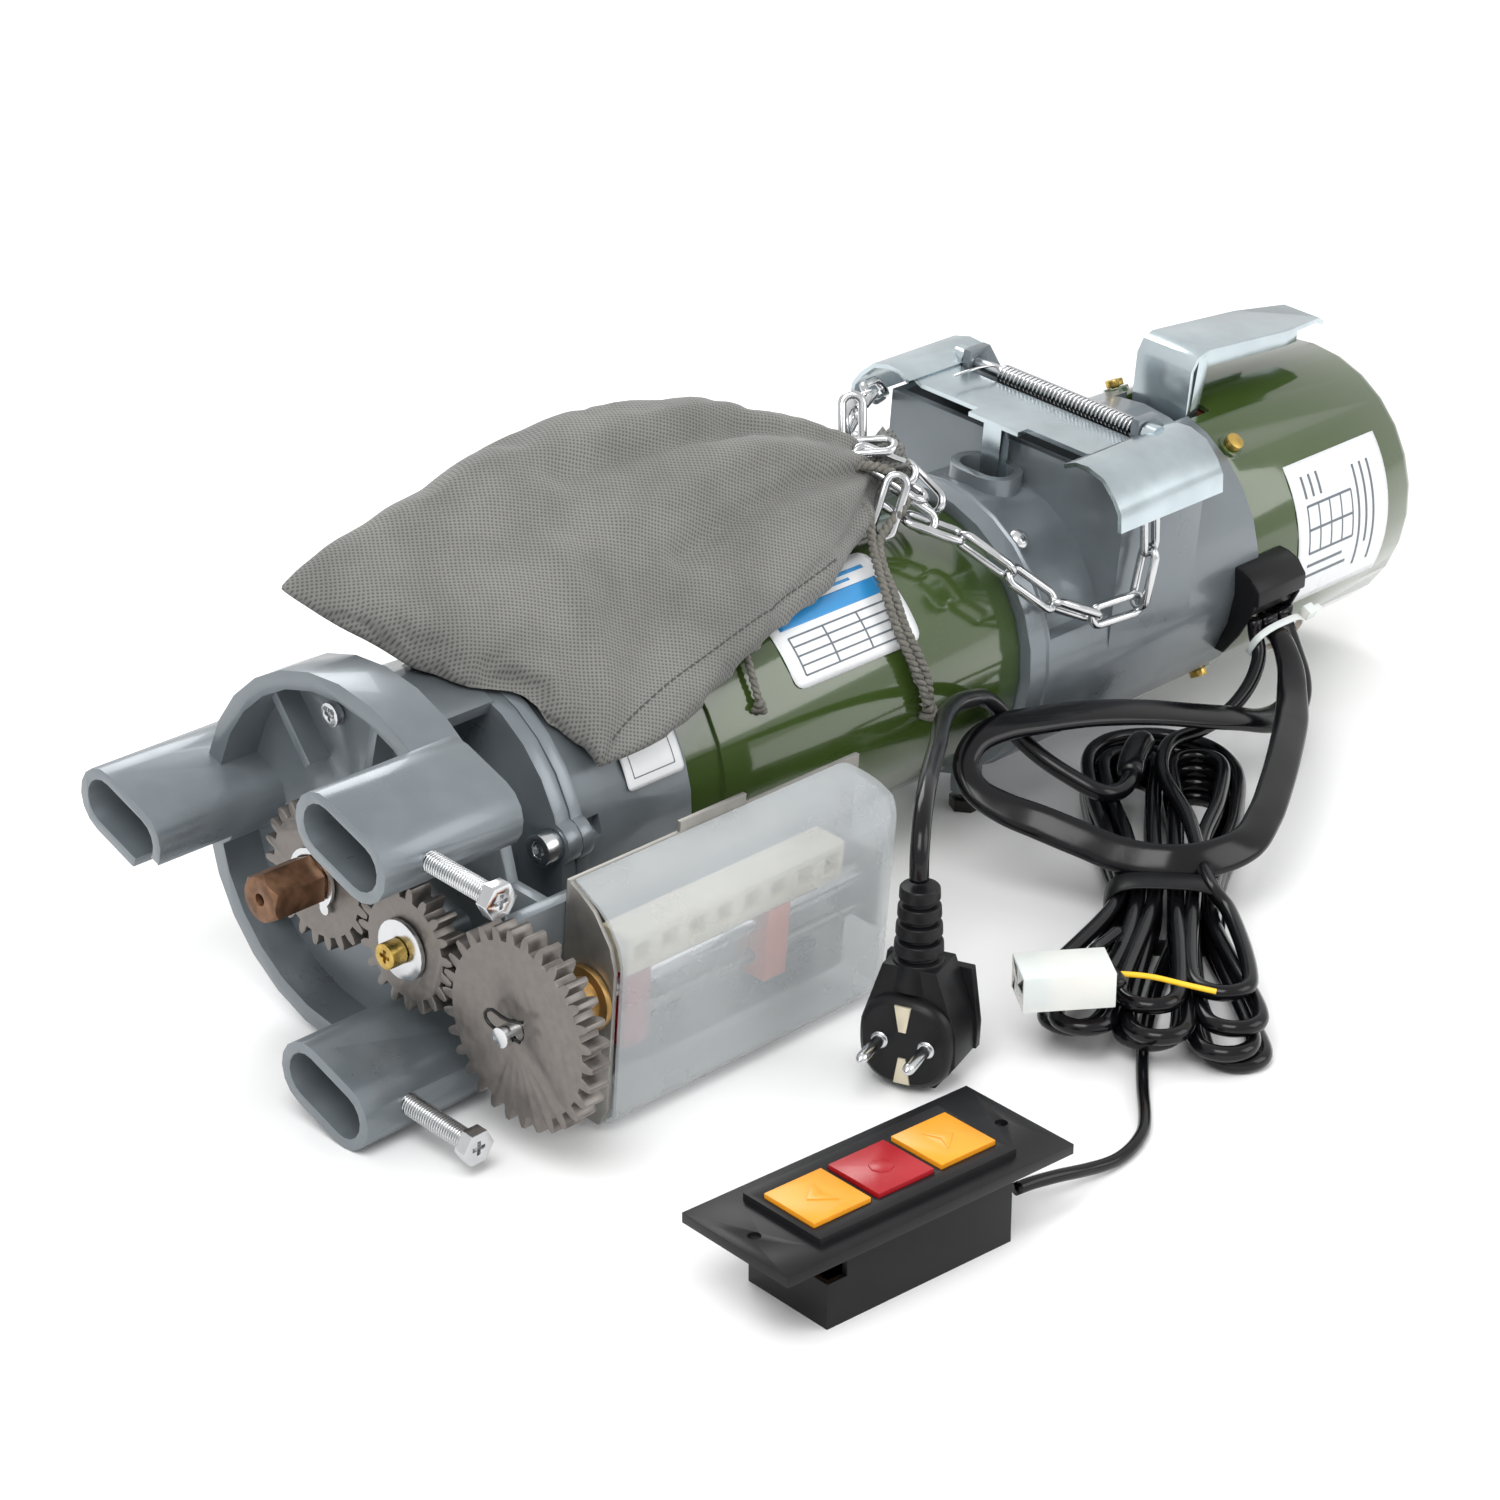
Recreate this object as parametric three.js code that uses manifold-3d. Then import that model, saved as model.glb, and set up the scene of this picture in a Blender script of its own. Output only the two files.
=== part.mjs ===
// A tubular roller-door opener with its limit box, hand-chain drive, brake lever, bagged
// hand chain, mains lead and three-button station. Millimetres, +Z up. +X runs from the
// output gears to the brake cap, +Y points away from the limit box.
import * as THREE from "three";
import { ConvexGeometry } from "three/addons/geometries/ConvexGeometry.js";
import { mergeVertices } from "three/addons/utils/BufferGeometryUtils.js";
import Module from "manifold-3d";

const wasm = await Module();
wasm.setup();

// ---- driving dimensions -------------------------------------------------------------

const ROLL = 5; // degrees that the motor leans about its own axis as it lies
const AXIS = { x: -287.5, y: 91, z: 79.65 }; // the motor axis, at the gears' front face
const GAP = 0.3; // between pieces that touch

// The sprocket train on the front: three spur gears of one module.
const GEAR_MODULE = 2.5;
const GEAR_WIDTH = 9.5;
const OUTPUT_TEETH = 22;
const IDLER_TEETH = 19;
const LIMIT_TEETH = 30;
const IDLER_AT = [-50.7, -7.66];
const LIMIT_AT = [-111.6, -13.8];

// The reduction inside the gearbox: two equal pairs.
const INNER_MODULE = 1.25;
const WHEEL_TEETH = 32;
const PINION_TEETH = 16;
const COUNTER_AT = [0, 30];
const SHAFT_R = 7;
const OUTPUT_R = 9;

// The body, front to back.
const BRACKET_R = 78;
const RING_INNER_R = 70.5;
const GEARBOX_R = 62;
const TUBE_R = 60.5;
const HOUSING_R = 67;
const CAP_R = 65.5;
const CAVITY_R = 57;
const DISC_FRONT = 28;
const DISC_BACK = 33;
const BRACKET_END = 73;
const GEARBOX_START = BRACKET_END + GAP;
const GEARBOX_END = 139.7;
const TUBE_START = 140;
const TUBE_END = 334.7;
const HOUSING_START = 335;
const HOUSING_END = 489.7;
const CAP_START = 490;
const CAP_END = 612;

// The three mounting arms: tubes of flattened section.
const ARM_ANGLES = { upper: 138, lower: 229, far: 2 };
const ARM_CENTRE_R = 76;
const ARM_R = 14;
const ARM_WALL = 4.5;
const ARM_HALF_STRAIGHT = 11;
const ARM_TILT = 17;
const ARM_FRONT = -37;

// The limit box.
const PLATE_NEAR = -99.4;
const PLATE_FAR = -97.4;
const BOX_START = 36;
const BOX_END = 190;
const BOX_FACE = -126.5;
const BOX_BOTTOM = -66;
const COVER_WALL = 1.6;
const END_PLAN_R = 10; // the cover's far end, rounded seen from above and from the side
const END_SIDE_R = 13;
const SCREW_R = 5;
const GUIDE_ROD_Z = -30;

// The hand-chain gear.
const WHEEL_START = 392;
const WHEEL_END = 412;
const PIN_AT = [416, 87.5]; // x and z of the chain guide's hinge pin
const PIN_R = 2.8;
const LINK_LENGTH = 30;
const LINK_WIDTH = 11;
const LINK_WIRE = 3;
const LINK_STEP = 23.6;

// Cords and the pieces on them, in the row's own frame.
const LEAD_R = 5;
const CONTROL_R = 3.5;
const MAINS_R = 3.75;
const BUTTON_CABLE_R = 2.5;
const HANK_TOP = 26.4;
const HANK_BASE = 0.4;

// The button station.
const STATION = { x: -243.8, y: -157.4, turn: -5 };
const STATION_TOP = 34;
const BUTTON_SIZE = 26;
const BUTTON_STEP = 29.5;

const BODY_SIDES = 28; // facets round the large turned pieces

const rad = THREE.MathUtils.degToRad;

// ---- materials ----------------------------------------------------------------------

function finish(color, roughness, metalness = 0, extra = {}) {
  return new THREE.MeshStandardMaterial({ color, roughness, metalness, flatShading: true, ...extra });
}

const castGrey = finish(0x82898e, 0.45, 0.3);
const greenPaint = finish(0x3e5223, 0.25);
const gearSteel = finish(0x847d76, 0.5, 0.8);
const shaftSteel = finish(0x6b5140, 0.45, 0.7);
const brightSteel = finish(0xc9ccce, 0.3, 0.9);
const zinc = finish(0xaebcc4, 0.35, 0.8);
const yellowZinc = finish(0xb99a45, 0.35, 0.8);
const blackSteel = finish(0x23211f, 0.4, 0.6);
const lamination = finish(0x5a5c60, 0.6, 0.7);
const copper = finish(0x9a5a34, 0.4, 0.7);
const brakeLining = finish(0x4a4540, 0.8);
const bronze = finish(0xa07b46, 0.4, 0.8);
const blackPlastic = finish(0x17181a, 0.45);
const cableBlack = finish(0x101113, 0.3);
const creamPlastic = finish(0xe6dcc4, 0.5);
const orangePlastic = finish(0xe2661f, 0.5);
const redPlastic = finish(0xaa191e, 0.4);
const yellowPlastic = finish(0xf5a623, 0.4);
const whiteNylon = finish(0xe8e8e4, 0.4);
const bagCloth = finish(0x84847f, 0.95);
const milkyPlastic = finish(0xc4ccd0, 0.35, 0, { transparent: true, opacity: 0.45 });

// ---- solids: three.js geometry in, joined or cut geometry out ---------------------------

function solid(geometry) {
  const bare = geometry.index ? geometry.clone() : geometry;
  bare.deleteAttribute("normal");
  bare.deleteAttribute("uv");
  const merged = mergeVertices(bare, 1e-4);
  const vertProperties = merged.attributes.position.array;
  const triVerts = new Uint32Array(merged.index.array);
  const made = new wasm.Manifold(new wasm.Mesh({ numProp: 3, vertProperties, triVerts }));
  if (made.volume() > 0) return made;
  triVerts.reverse();
  return new wasm.Manifold(new wasm.Mesh({ numProp: 3, vertProperties, triVerts }));
}

function join(first, ...rest) {
  return rest.reduce((whole, piece) => whole.add(piece), first);
}

function cut(first, ...rest) {
  return rest.reduce((whole, piece) => whole.subtract(piece), first);
}

function geometryOf(body) {
  const mesh = body.getMesh();
  const geometry = new THREE.BufferGeometry();
  geometry.setAttribute("position", new THREE.BufferAttribute(mesh.vertProperties, 3));
  geometry.setIndex(new THREE.BufferAttribute(mesh.triVerts, 1));
  return geometry;
}

// Cylinder along X from x0 to x1, about the line through (y, z).
function rod(x0, x1, radius, [y, z] = [0, 0], sides = 24) {
  const shape = new THREE.CylinderGeometry(radius, radius, x1 - x0, sides);
  return solid(shape.rotateZ(-Math.PI / 2).translate((x0 + x1) / 2, y, z));
}

// Cylinder along Y.
function rodY(y0, y1, radius, [x, z], sides = 24) {
  const shape = new THREE.CylinderGeometry(radius, radius, y1 - y0, sides);
  return solid(shape.translate(x, (y0 + y1) / 2, z));
}

// Cylinder along Z.
function rodZ(z0, z1, radius, [x, y], sides = 24) {
  const shape = new THREE.CylinderGeometry(radius, radius, z1 - z0, sides);
  return solid(shape.rotateX(Math.PI / 2).translate(x, y, (z0 + z1) / 2));
}

// Body turned about X from a closed outline of [x, radius] corners.
function turned(outline, [y, z] = [0, 0], sides = BODY_SIDES) {
  const points = [...outline, outline[0]].map(([x, r]) => new THREE.Vector2(r, x));
  return solid(new THREE.LatheGeometry(points, sides).rotateZ(-Math.PI / 2).translate(0, y, z));
}

function ring(x0, x1, outer, inner, at = [0, 0], sides = BODY_SIDES) {
  return turned([[x0, inner], [x0, outer], [x1, outer], [x1, inner]], at, sides);
}

function box([x0, x1], [y0, y1], [z0, z1]) {
  const shape = new THREE.BoxGeometry(x1 - x0, y1 - y0, z1 - z0);
  return solid(shape.translate((x0 + x1) / 2, (y0 + y1) / 2, (z0 + z1) / 2));
}

function outlineOf(points) {
  return new THREE.Shape(points.map(([u, v]) => new THREE.Vector2(u, v)));
}

function extruded(shape, depth, curveSegments = 4) {
  return new THREE.ExtrudeGeometry(shape, { depth, bevelEnabled: false, curveSegments });
}

const alongX = new THREE.Matrix4().makeBasis(
  new THREE.Vector3(0, 1, 0),
  new THREE.Vector3(0, 0, 1),
  new THREE.Vector3(1, 0, 0),
);

// Prism along X of a shape drawn in (y, z).
function prismX(shape, x0, x1, curveSegments) {
  return solid(extruded(shape, x1 - x0, curveSegments).applyMatrix4(alongX).translate(x0, 0, 0));
}

// Prism along Y of a shape drawn in (x, z).
function prismY(shape, y0, y1, curveSegments) {
  const made = extruded(shape, y1 - y0, curveSegments);
  return solid(made.rotateX(Math.PI / 2).translate(0, y1, 0));
}

// Prism along Z of a shape drawn in (x, y).
function prismZ(shape, z0, z1, curveSegments) {
  return solid(extruded(shape, z1 - z0, curveSegments).translate(0, 0, z0));
}

// A slot with round ends, tilted by an angle, centred on (u, v).
function roundEnded(u, v, halfStraight, radius, tiltDegrees) {
  const tilt = rad(tiltDegrees);
  const du = halfStraight * Math.cos(tilt);
  const dv = halfStraight * Math.sin(tilt);
  const shape = new THREE.Shape();
  shape.absarc(u + du, v + dv, radius, tilt - Math.PI / 2, tilt + Math.PI / 2, false);
  shape.absarc(u - du, v - dv, radius, tilt + Math.PI / 2, tilt + 1.5 * Math.PI, false);
  return shape;
}

// A strip of even thickness along an open line of (u, v) points, thickened to its left.
function strip(points, thickness) {
  const line = points.map(([u, v]) => new THREE.Vector2(u, v));
  const offset = line.map((point, i) => {
    const before = line[Math.max(i - 1, 0)];
    const after = line[Math.min(i + 1, line.length - 1)];
    const along = after.clone().sub(before).normalize();
    return new THREE.Vector2(point.x - along.y * thickness, point.y + along.x * thickness);
  });
  return new THREE.Shape([...line, ...offset.reverse()]);
}

function polar(radius, degrees) {
  return [radius * Math.cos(rad(degrees)), radius * Math.sin(rad(degrees))];
}

// Pie slice about the X axis, from one angle round to another.
function wedge(x0, x1, from, to, radius = 100) {
  const steps = 4;
  const points = [[0, 0]];
  for (let i = 0; i <= steps; i++) points.push(polar(radius, from + ((to - from) * i) / steps));
  return prismX(outlineOf(points), x0, x1);
}

function hexagon(acrossFlats, [u, v], turn = 0) {
  const points = [];
  for (let i = 0; i < 6; i++) {
    const [du, dv] = polar(acrossFlats / Math.sqrt(3), turn + 60 * i);
    points.push([u + du, v + dv]);
  }
  return outlineOf(points);
}

// ---- gears --------------------------------------------------------------------------------

const PRESSURE_ANGLE = rad(20);
const BACKLASH = 0.25;
const involute = (angle) => Math.tan(angle) - angle;

// Outline of a spur gear, with a tooth centred on the angle phase. A coarse gear has straight
// flanks, which lie inside the involute.
function gearShape(teeth, size, phase, coarse = false) {
  const pitchR = (teeth * size) / 2;
  const baseR = pitchR * Math.cos(PRESSURE_ANGLE);
  const halfAtPitch = (Math.PI * size * 0.5 - BACKLASH) / 2 / pitchR;
  const halfAngle = (r) =>
    halfAtPitch + involute(PRESSURE_ANGLE) - involute(Math.acos(Math.min(1, baseR / r)));
  const ends = [pitchR - 1.2 * size, pitchR + 0.9 * size];
  const flank = coarse ? ends : [ends[0], pitchR, ends[1]];
  const points = [];
  for (let tooth = 0; tooth < teeth; tooth++) {
    const centre = phase + (360 * tooth) / teeth;
    for (const r of flank) points.push(polar(r, centre - THREE.MathUtils.radToDeg(halfAngle(r))));
    for (const r of [...flank].reverse()) {
      points.push(polar(r, centre + THREE.MathUtils.radToDeg(halfAngle(r))));
    }
  }
  return outlineOf(points);
}

// The phase that puts a gear in mesh with its driver, which lies in the opposite direction.
function meshPhase(teeth, driverTeeth, driverPhase, direction) {
  const past = (direction - driverPhase) / (360 / driverTeeth);
  return direction + 180 + ((past + 0.5) * 360) / teeth;
}

function directionTo([y0, z0], [y1, z1]) {
  return THREE.MathUtils.radToDeg(Math.atan2(z1 - z0, y1 - y0));
}

// One of the front gears, bored for its shaft.
function frontGear(teeth, phase, at, boreR) {
  const blank = prismX(gearShape(teeth, GEAR_MODULE, phase), 0, GEAR_WIDTH);
  return cut(blank.translate([0, ...at]), rod(-1, GEAR_WIDTH + 1, boreR, at));
}

// One of the small gears inside the gearbox, about the X axis.
function innerGear(teeth, phase, x0, x1) {
  return prismX(gearShape(teeth, INNER_MODULE, phase, true), x0, x1);
}

const toIdler = directionTo([0, 0], IDLER_AT);
const toLimit = directionTo(IDLER_AT, LIMIT_AT);
const idlerPhase = meshPhase(IDLER_TEETH, OUTPUT_TEETH, toIdler, toIdler);
const limitPhase = meshPhase(LIMIT_TEETH, IDLER_TEETH, idlerPhase, toLimit);

// ---- screws -------------------------------------------------------------------------------

// A pan or hexagon headed screw along +X whose head's bearing face is at x, its head toward -X.
function screwAlongX(x, at, head, shankR, shankLength, hexagonHead = false) {
  const body = hexagonHead
    ? prismX(hexagon(head.width, at), x - head.height, x)
    : rod(x - head.height, x, head.width / 2, at, 16);
  const front = x - head.height;
  const [y, z] = at;
  const recess = join(
    box([front - 1, front + 1.6], [y - 0.7, y + 0.7], [z - 2.6, z + 2.6]),
    box([front - 1, front + 1.6], [y - 2.6, y + 2.6], [z - 0.7, z + 0.7]),
  );
  return cut(join(body, rod(x, x + shankLength, shankR, at, 12)), recess);
}

// ---- the two groups -----------------------------------------------------------------------

const opener = new THREE.Group();
const motor = new THREE.Group();
motor.position.set(AXIS.x, AXIS.y, AXIS.z);
motor.rotation.x = rad(ROLL);
opener.add(motor);

function place(parent, name, body, material) {
  const mesh = new THREE.Mesh(geometryOf(body), material);
  mesh.name = name;
  parent.add(mesh);
  return mesh;
}

// Turns a body drawn upright into the motor's leaning frame.
const upright = (body) => body.rotate([-ROLL, 0, 0]);

// ---- front bracket ------------------------------------------------------------------------

const upperArmAt = polar(ARM_CENTRE_R, ARM_ANGLES.upper);
const lowerArmAt = polar(ARM_CENTRE_R, ARM_ANGLES.lower);
const farArmAt = polar(ARM_CENTRE_R, ARM_ANGLES.far);
const armBolts = {
  upper: { x: -15, z: 48, head: -112 },
  lower: { x: -16, z: -58, head: -106 },
};
const flangeScrewAt = [-58.8, 16.2];
const bracketScrewAt = [22, 51.4];

function arm([y, z], front) {
  return prismX(roundEnded(y, z, ARM_HALF_STRAIGHT, ARM_R, ARM_TILT), front, DISC_FRONT + 1);
}

function armSocket([y, z], front) {
  const bore = roundEnded(y, z, ARM_HALF_STRAIGHT, ARM_R - ARM_WALL, ARM_TILT);
  return prismX(bore, front - 1, DISC_FRONT - 4);
}

function frontBracket() {
  const openSide = wedge(9, DISC_FRONT, 145, 222);
  const rim = cut(ring(10, DISC_FRONT + GAP, BRACKET_R, RING_INNER_R), openSide);
  const sideWall = join(
    box([12, 66], [-97.1, -91], [-45, 20]),
    box([DISC_FRONT, DISC_BACK], [-97, -60], [-45, 20]),
  );
  const shells = cut(
    ring(DISC_BACK - 1, 67, 66, 60),
    wedge(DISC_BACK - 2, 68, 110, 240, 120),
    wedge(DISC_BACK - 2, 68, -60, 45, 120),
  );
  const ribs = [48, 100, 318].map((angle) =>
    box([18, DISC_FRONT + 1], [40, 72], [-2, 2]).rotate([angle, 0, 0]),
  );
  const boreR = OUTPUT_R + GAP;
  const hub = turned([
    [DISC_FRONT, boreR], [DISC_FRONT, BRACKET_R], [DISC_BACK, BRACKET_R], [DISC_BACK, 40], [66, 40],
    [66, 65], [BRACKET_END, 65], [BRACKET_END, boreR], [62, boreR], [62, 30], [38, 30], [38, boreR],
  ]);
  const body = join(
    hub,
    rim,
    rod(66, BRACKET_END, 9, flangeScrewAt, 12),
    shells,
    sideWall,
    ...ribs,
    rod(-GAP, DISC_FRONT + 1, 6, IDLER_AT, 16),
    arm(upperArmAt, ARM_FRONT),
    arm(lowerArmAt, ARM_FRONT),
    arm(farArmAt, ARM_FRONT + 4),
  );
  const slot = box([ARM_FRONT, 3], [-6, 6], [-7, 7]).rotate([ARM_TILT, 0, 0]);
  const slotAt = [farArmAt[0] - 15, farArmAt[1] - 14];
  const { upper, lower } = armBolts;
  return cut(
    body,
    armSocket(upperArmAt, ARM_FRONT),
    armSocket(lowerArmAt, ARM_FRONT),
    armSocket(farArmAt, ARM_FRONT + 4),
    slot.translate([0, ...slotAt]),
    rod(-1, 14, 3.2, IDLER_AT, 12),
    rod(60, 80, 4.3, flangeScrewAt, 12),
    rod(20, 42, 2.8, bracketScrewAt, 12),
    rodY(-90, -60, 4.3, [upper.x, upper.z], 16),
    rodY(-90, -50, 4.3, [lower.x, lower.z], 16),
  );
}

function armBolt({ x, z, head }) {
  const headHeight = 5.5;
  const hex = prismY(hexagon(13, [x, z]), head - headHeight, head);
  const cross = join(
    box([x - 0.8, x + 0.8], [head - headHeight - 1, head - headHeight + 2], [z - 3, z + 3]),
    box([x - 3, x + 3], [head - headHeight - 1, head - headHeight + 2], [z - 0.8, z + 0.8]),
  );
  return cut(join(hex, rodY(head, head + 43, 4, [x, z], 16)), cross);
}

place(motor, "front_bracket", frontBracket(), castGrey);
place(motor, "arm_bolt_upper", armBolt(armBolts.upper), brightSteel);
place(motor, "arm_bolt_lower", armBolt(armBolts.lower), brightSteel);
place(
  motor,
  "bracket_screw",
  screwAlongX(DISC_FRONT - GAP, bracketScrewAt, { width: 10, height: 3.6 }, 2.5, 11),
  brightSteel,
);

function flangeScrew() {
  const head = rod(58, 66 - GAP, 6.5, flangeScrewAt, 20);
  const key = prismX(hexagon(6, flangeScrewAt), 57, 62);
  return join(cut(head, key), rod(65, 78, 4, flangeScrewAt, 12));
}

place(motor, "flange_screw", flangeScrew(), brightSteel);

// ---- front gears ----------------------------------------------------------------------------

function outputShaft() {
  const hex = prismX(hexagon(18, [0, 0], 30), -27, -3.2);
  const chamfer = turned([[-28, 0], [-28, 8.2], [-25, 10.6], [-3, 10.6], [-3, 0]], [0, 0], 24);
  const centreDrill = rod(-28, -22, 2.6, [0, 0], 12);
  const body = join(
    hex.intersect(chamfer),
    rod(-4, -0.8, 8.4),
    rod(-0.8, 98, OUTPUT_R),
    innerGear(WHEEL_TEETH, 0, 84, 94),
  );
  return cut(body, centreDrill);
}

function shaftCirclip() {
  const shape = new THREE.Shape();
  shape.absarc(0, 0, 12.2, rad(-60), rad(240), false);
  shape.absarc(0, 0, 8.6, rad(240), rad(-60), true);
  const ears = [-60, 240].map((angle) => {
    const [y, z] = polar(12.4, angle + (angle < 0 ? 8 : -8));
    return rod(-2.4, -1.1, 2.6, [y, z], 10);
  });
  return join(prismX(shape, -2.4, -1.1, 10), ...ears);
}

place(motor, "output_shaft", outputShaft(), shaftSteel);
const outputGear = frontGear(OUTPUT_TEETH, toIdler, [0, 0], OUTPUT_R + GAP);
place(motor, "output_gear", outputGear, gearSteel);
place(motor, "shaft_circlip", shaftCirclip(), brightSteel);

const idlerGear = frontGear(IDLER_TEETH, idlerPhase, IDLER_AT, 6 + GAP);
place(motor, "idler_gear", idlerGear, gearSteel);
place(motor, "idler_washer", ring(-2.6, -0.6, 12.2, 3.3, IDLER_AT, 24), brightSteel);
place(
  motor,
  "idler_screw",
  screwAlongX(-2.9, IDLER_AT, { width: 10.4, height: 7 }, 2.9, 15),
  yellowZinc,
);

const limitGear = frontGear(LIMIT_TEETH, limitPhase, LIMIT_AT, 4 + GAP);
place(motor, "limit_gear", limitGear, gearSteel);

function limitScrew() {
  const thread = rod(45, 180, SCREW_R, LIMIT_AT, 20);
  const pinHole = rodY(LIMIT_AT[0] - 6, LIMIT_AT[0] + 6, 1.3, [-4.5, LIMIT_AT[1]], 8);
  return cut(join(rod(-8, 186, 4, LIMIT_AT, 20), thread), pinHole);
}

// The spring clip through the shaft's end: a straight leg, and a leg that curls round the shaft.
function limitClip() {
  const [y, z] = LIMIT_AT;
  const route = [
    [-4.5, y - 7, z], [-4.5, y, z], [-4.5, y + 9, z], [-4.5, y + 12, z + 3], [-4.5, y + 9, z + 6.5],
    [-4.5, y + 3, z + 6.2], [-4.5, y - 3, z + 6.8], [-4.5, y - 8, z + 9],
  ];
  return solid(tube(route, 0.8, 18, 6));
}

place(motor, "limit_screw", limitScrew(), brightSteel);
place(motor, "limit_clip", limitClip(), blackSteel);

function limitBushing() {
  const outline = [[20, 4.3], [20, 9], [33, 9], [33, 13], [35.7, 13], [35.7, 4.3]];
  return turned(outline, LIMIT_AT, 24);
}

place(motor, "limit_bushing", limitBushing(), bronze);

// ---- limit box ------------------------------------------------------------------------------

const plateScrewAt = [-112.7, -60];
const upSwitchX = [138, 166];
const downSwitchX = [66, 94];

function limitPlate() {
  const endOutline = outlineOf([
    [PLATE_FAR, 29.6], [-104, 27], [-112, 22], [-121, 11], [-124, 2], [-124, -58], [-120, BOX_BOTTOM],
    [PLATE_FAR, BOX_BOTTOM],
  ]);
  const body = join(
    box([BOX_START, BOX_END], [PLATE_NEAR, PLATE_FAR], [BOX_BOTTOM, 29.6]),
    box([92, 127], [PLATE_NEAR, PLATE_FAR], [29, 34]),
    prismX(endOutline, BOX_START, BOX_START + 2),
    box([183, 185], [-120, PLATE_NEAR + 0.5], [-36, -4]),
    rod(BOX_START + 1, 184, 2.5, [LIMIT_AT[0], GUIDE_ROD_Z], 12),
  );
  return cut(
    body,
    rod(30, BOX_START + 4, 4.4, LIMIT_AT, 16),
    rod(180, 188, 4.4, LIMIT_AT, 16),
    rod(30, BOX_START + 4, 2.2, plateScrewAt, 12),
  );
}

function coverOutline(inset) {
  const near = BOX_FACE + inset;
  const bottom = BOX_BOTTOM + inset;
  return outlineOf([
    [PLATE_NEAR - GAP, bottom], [-120, bottom], [-124 + inset / 2, bottom + 2], [near, -60], [near, 4],
    [-124 + inset, 12 - inset / 2], [-118 + inset / 2, 20 - inset], [-112, 24 - inset],
    [PLATE_NEAR - GAP, 29.6 - inset],
  ]);
}

// A block along the box whose far end is rounded in plan and in elevation.
function roundedEnd(inset) {
  const end = BOX_END - inset;
  const near = BOX_FACE - 1;
  const plan = new THREE.Shape([new THREE.Vector2(BOX_START, -80), new THREE.Vector2(BOX_START, near)]);
  plan.absarc(end - END_PLAN_R, BOX_FACE + inset + END_PLAN_R, END_PLAN_R, -Math.PI / 2, 0, false);
  plan.lineTo(end, -80);
  const side = new THREE.Shape([new THREE.Vector2(BOX_START, 40), new THREE.Vector2(BOX_START, -80)]);
  side.lineTo(end, -80);
  side.absarc(end - END_SIDE_R, 29.6 - inset - END_SIDE_R, END_SIDE_R, 0, Math.PI / 2, false);
  side.lineTo(end - END_SIDE_R, 40);
  return prismZ(plan, -90, 45).intersect(prismY(side, -130, -90));
}

function limitCover() {
  const outer = prismX(coverOutline(0), BOX_START + 2 + GAP, BOX_END).intersect(roundedEnd(0));
  const hollow = prismX(coverOutline(COVER_WALL), BOX_START, BOX_END).intersect(roundedEnd(COVER_WALL));
  const back = box(
    [30, BOX_END - COVER_WALL],
    [PLATE_NEAR - GAP - 0.5, -90],
    [BOX_BOTTOM + COVER_WALL, 27.8],
  );
  return cut(outer, hollow, back.intersect(roundedEnd(COVER_WALL)));
}

function terminalBlock() {
  const body = box([47, 162], [-120, -105], [-6, 10]);
  const wells = [];
  for (let i = 0; i < 8; i++) {
    const x = 54 + i * 14.5;
    wells.push(box([x - 4, x + 4], [-121, -114], [-2, 6]));
  }
  return cut(body, ...wells);
}

function limitNut(x) {
  const [y, z] = LIMIT_AT;
  return cut(
    box([x - 6, x + 6], [y - 8, y + 7], [-38, -7]),
    rod(x - 7, x + 7, SCREW_R + 0.15, [y, z], 24),
    rod(x - 7, x + 7, 2.8, [y, GUIDE_ROD_Z], 16),
  );
}

function microswitch([x0, x1]) {
  const lever = box([x0 + 3, x1 - 2], [-105, -101], [-41, -40]);
  const post = box([x0 + 3, x0 + 5], [-105, -101], [-43, -40]);
  return join(box([x0, x1], [-106, PLATE_NEAR - GAP], [-58, -42]), lever, post);
}

place(motor, "limit_plate", limitPlate(), zinc);
place(motor, "limit_cover", limitCover(), milkyPlastic);
place(motor, "terminal_block", terminalBlock(), creamPlastic);
place(motor, "up_limit_nut", limitNut(128), orangePlastic);
place(motor, "down_limit_nut", limitNut(54), redPlastic);
place(motor, "up_microswitch", microswitch(upSwitchX), blackPlastic);
place(motor, "down_microswitch", microswitch(downSwitchX), blackPlastic);
place(
  motor,
  "plate_screw",
  screwAlongX(BOX_START - GAP, plateScrewAt, { width: 7, height: 2.6 }, 2, 4),
  brightSteel,
);

// ---- gearbox --------------------------------------------------------------------------------

function gearboxHousing() {
  const shell = turned([
    [GEARBOX_START, 12], [GEARBOX_START, 65.5], [79, 65.5], [80, GEARBOX_R], [GEARBOX_END, 60],
    [GEARBOX_END, 12], [131, 12], [131, 54], [80, 54], [80, 12],
  ]);
  return cut(
    join(shell, rod(82, 132, 4, COUNTER_AT, 16), rod(GEARBOX_START, 79, 9, flangeScrewAt, 20)),
    rod(70, 90, 4.3, flangeScrewAt, 16),
  );
}

function counterGear() {
  const wheel = innerGear(WHEEL_TEETH, 0, 104, 114);
  const pinionPhase = meshPhase(PINION_TEETH, WHEEL_TEETH, 0, 90);
  const pinion = innerGear(PINION_TEETH, pinionPhase, 84, 95);
  const both = join(wheel, pinion, rod(94, 105, 8)).translate([0, ...COUNTER_AT]);
  return cut(both, rod(83, 115, 4 + GAP, COUNTER_AT, 16));
}

function motorShaft() {
  const phase = meshPhase(PINION_TEETH, WHEEL_TEETH, 0, -90);
  const pinion = innerGear(PINION_TEETH, phase, 104, 114);
  return join(rod(101, 545, SHAFT_R), pinion);
}

place(motor, "gearbox_housing", gearboxHousing(), castGrey);
place(motor, "counter_gear", counterGear(), gearSteel);
place(motor, "motor_shaft", motorShaft(), brightSteel);

// ---- motor ----------------------------------------------------------------------------------

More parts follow.
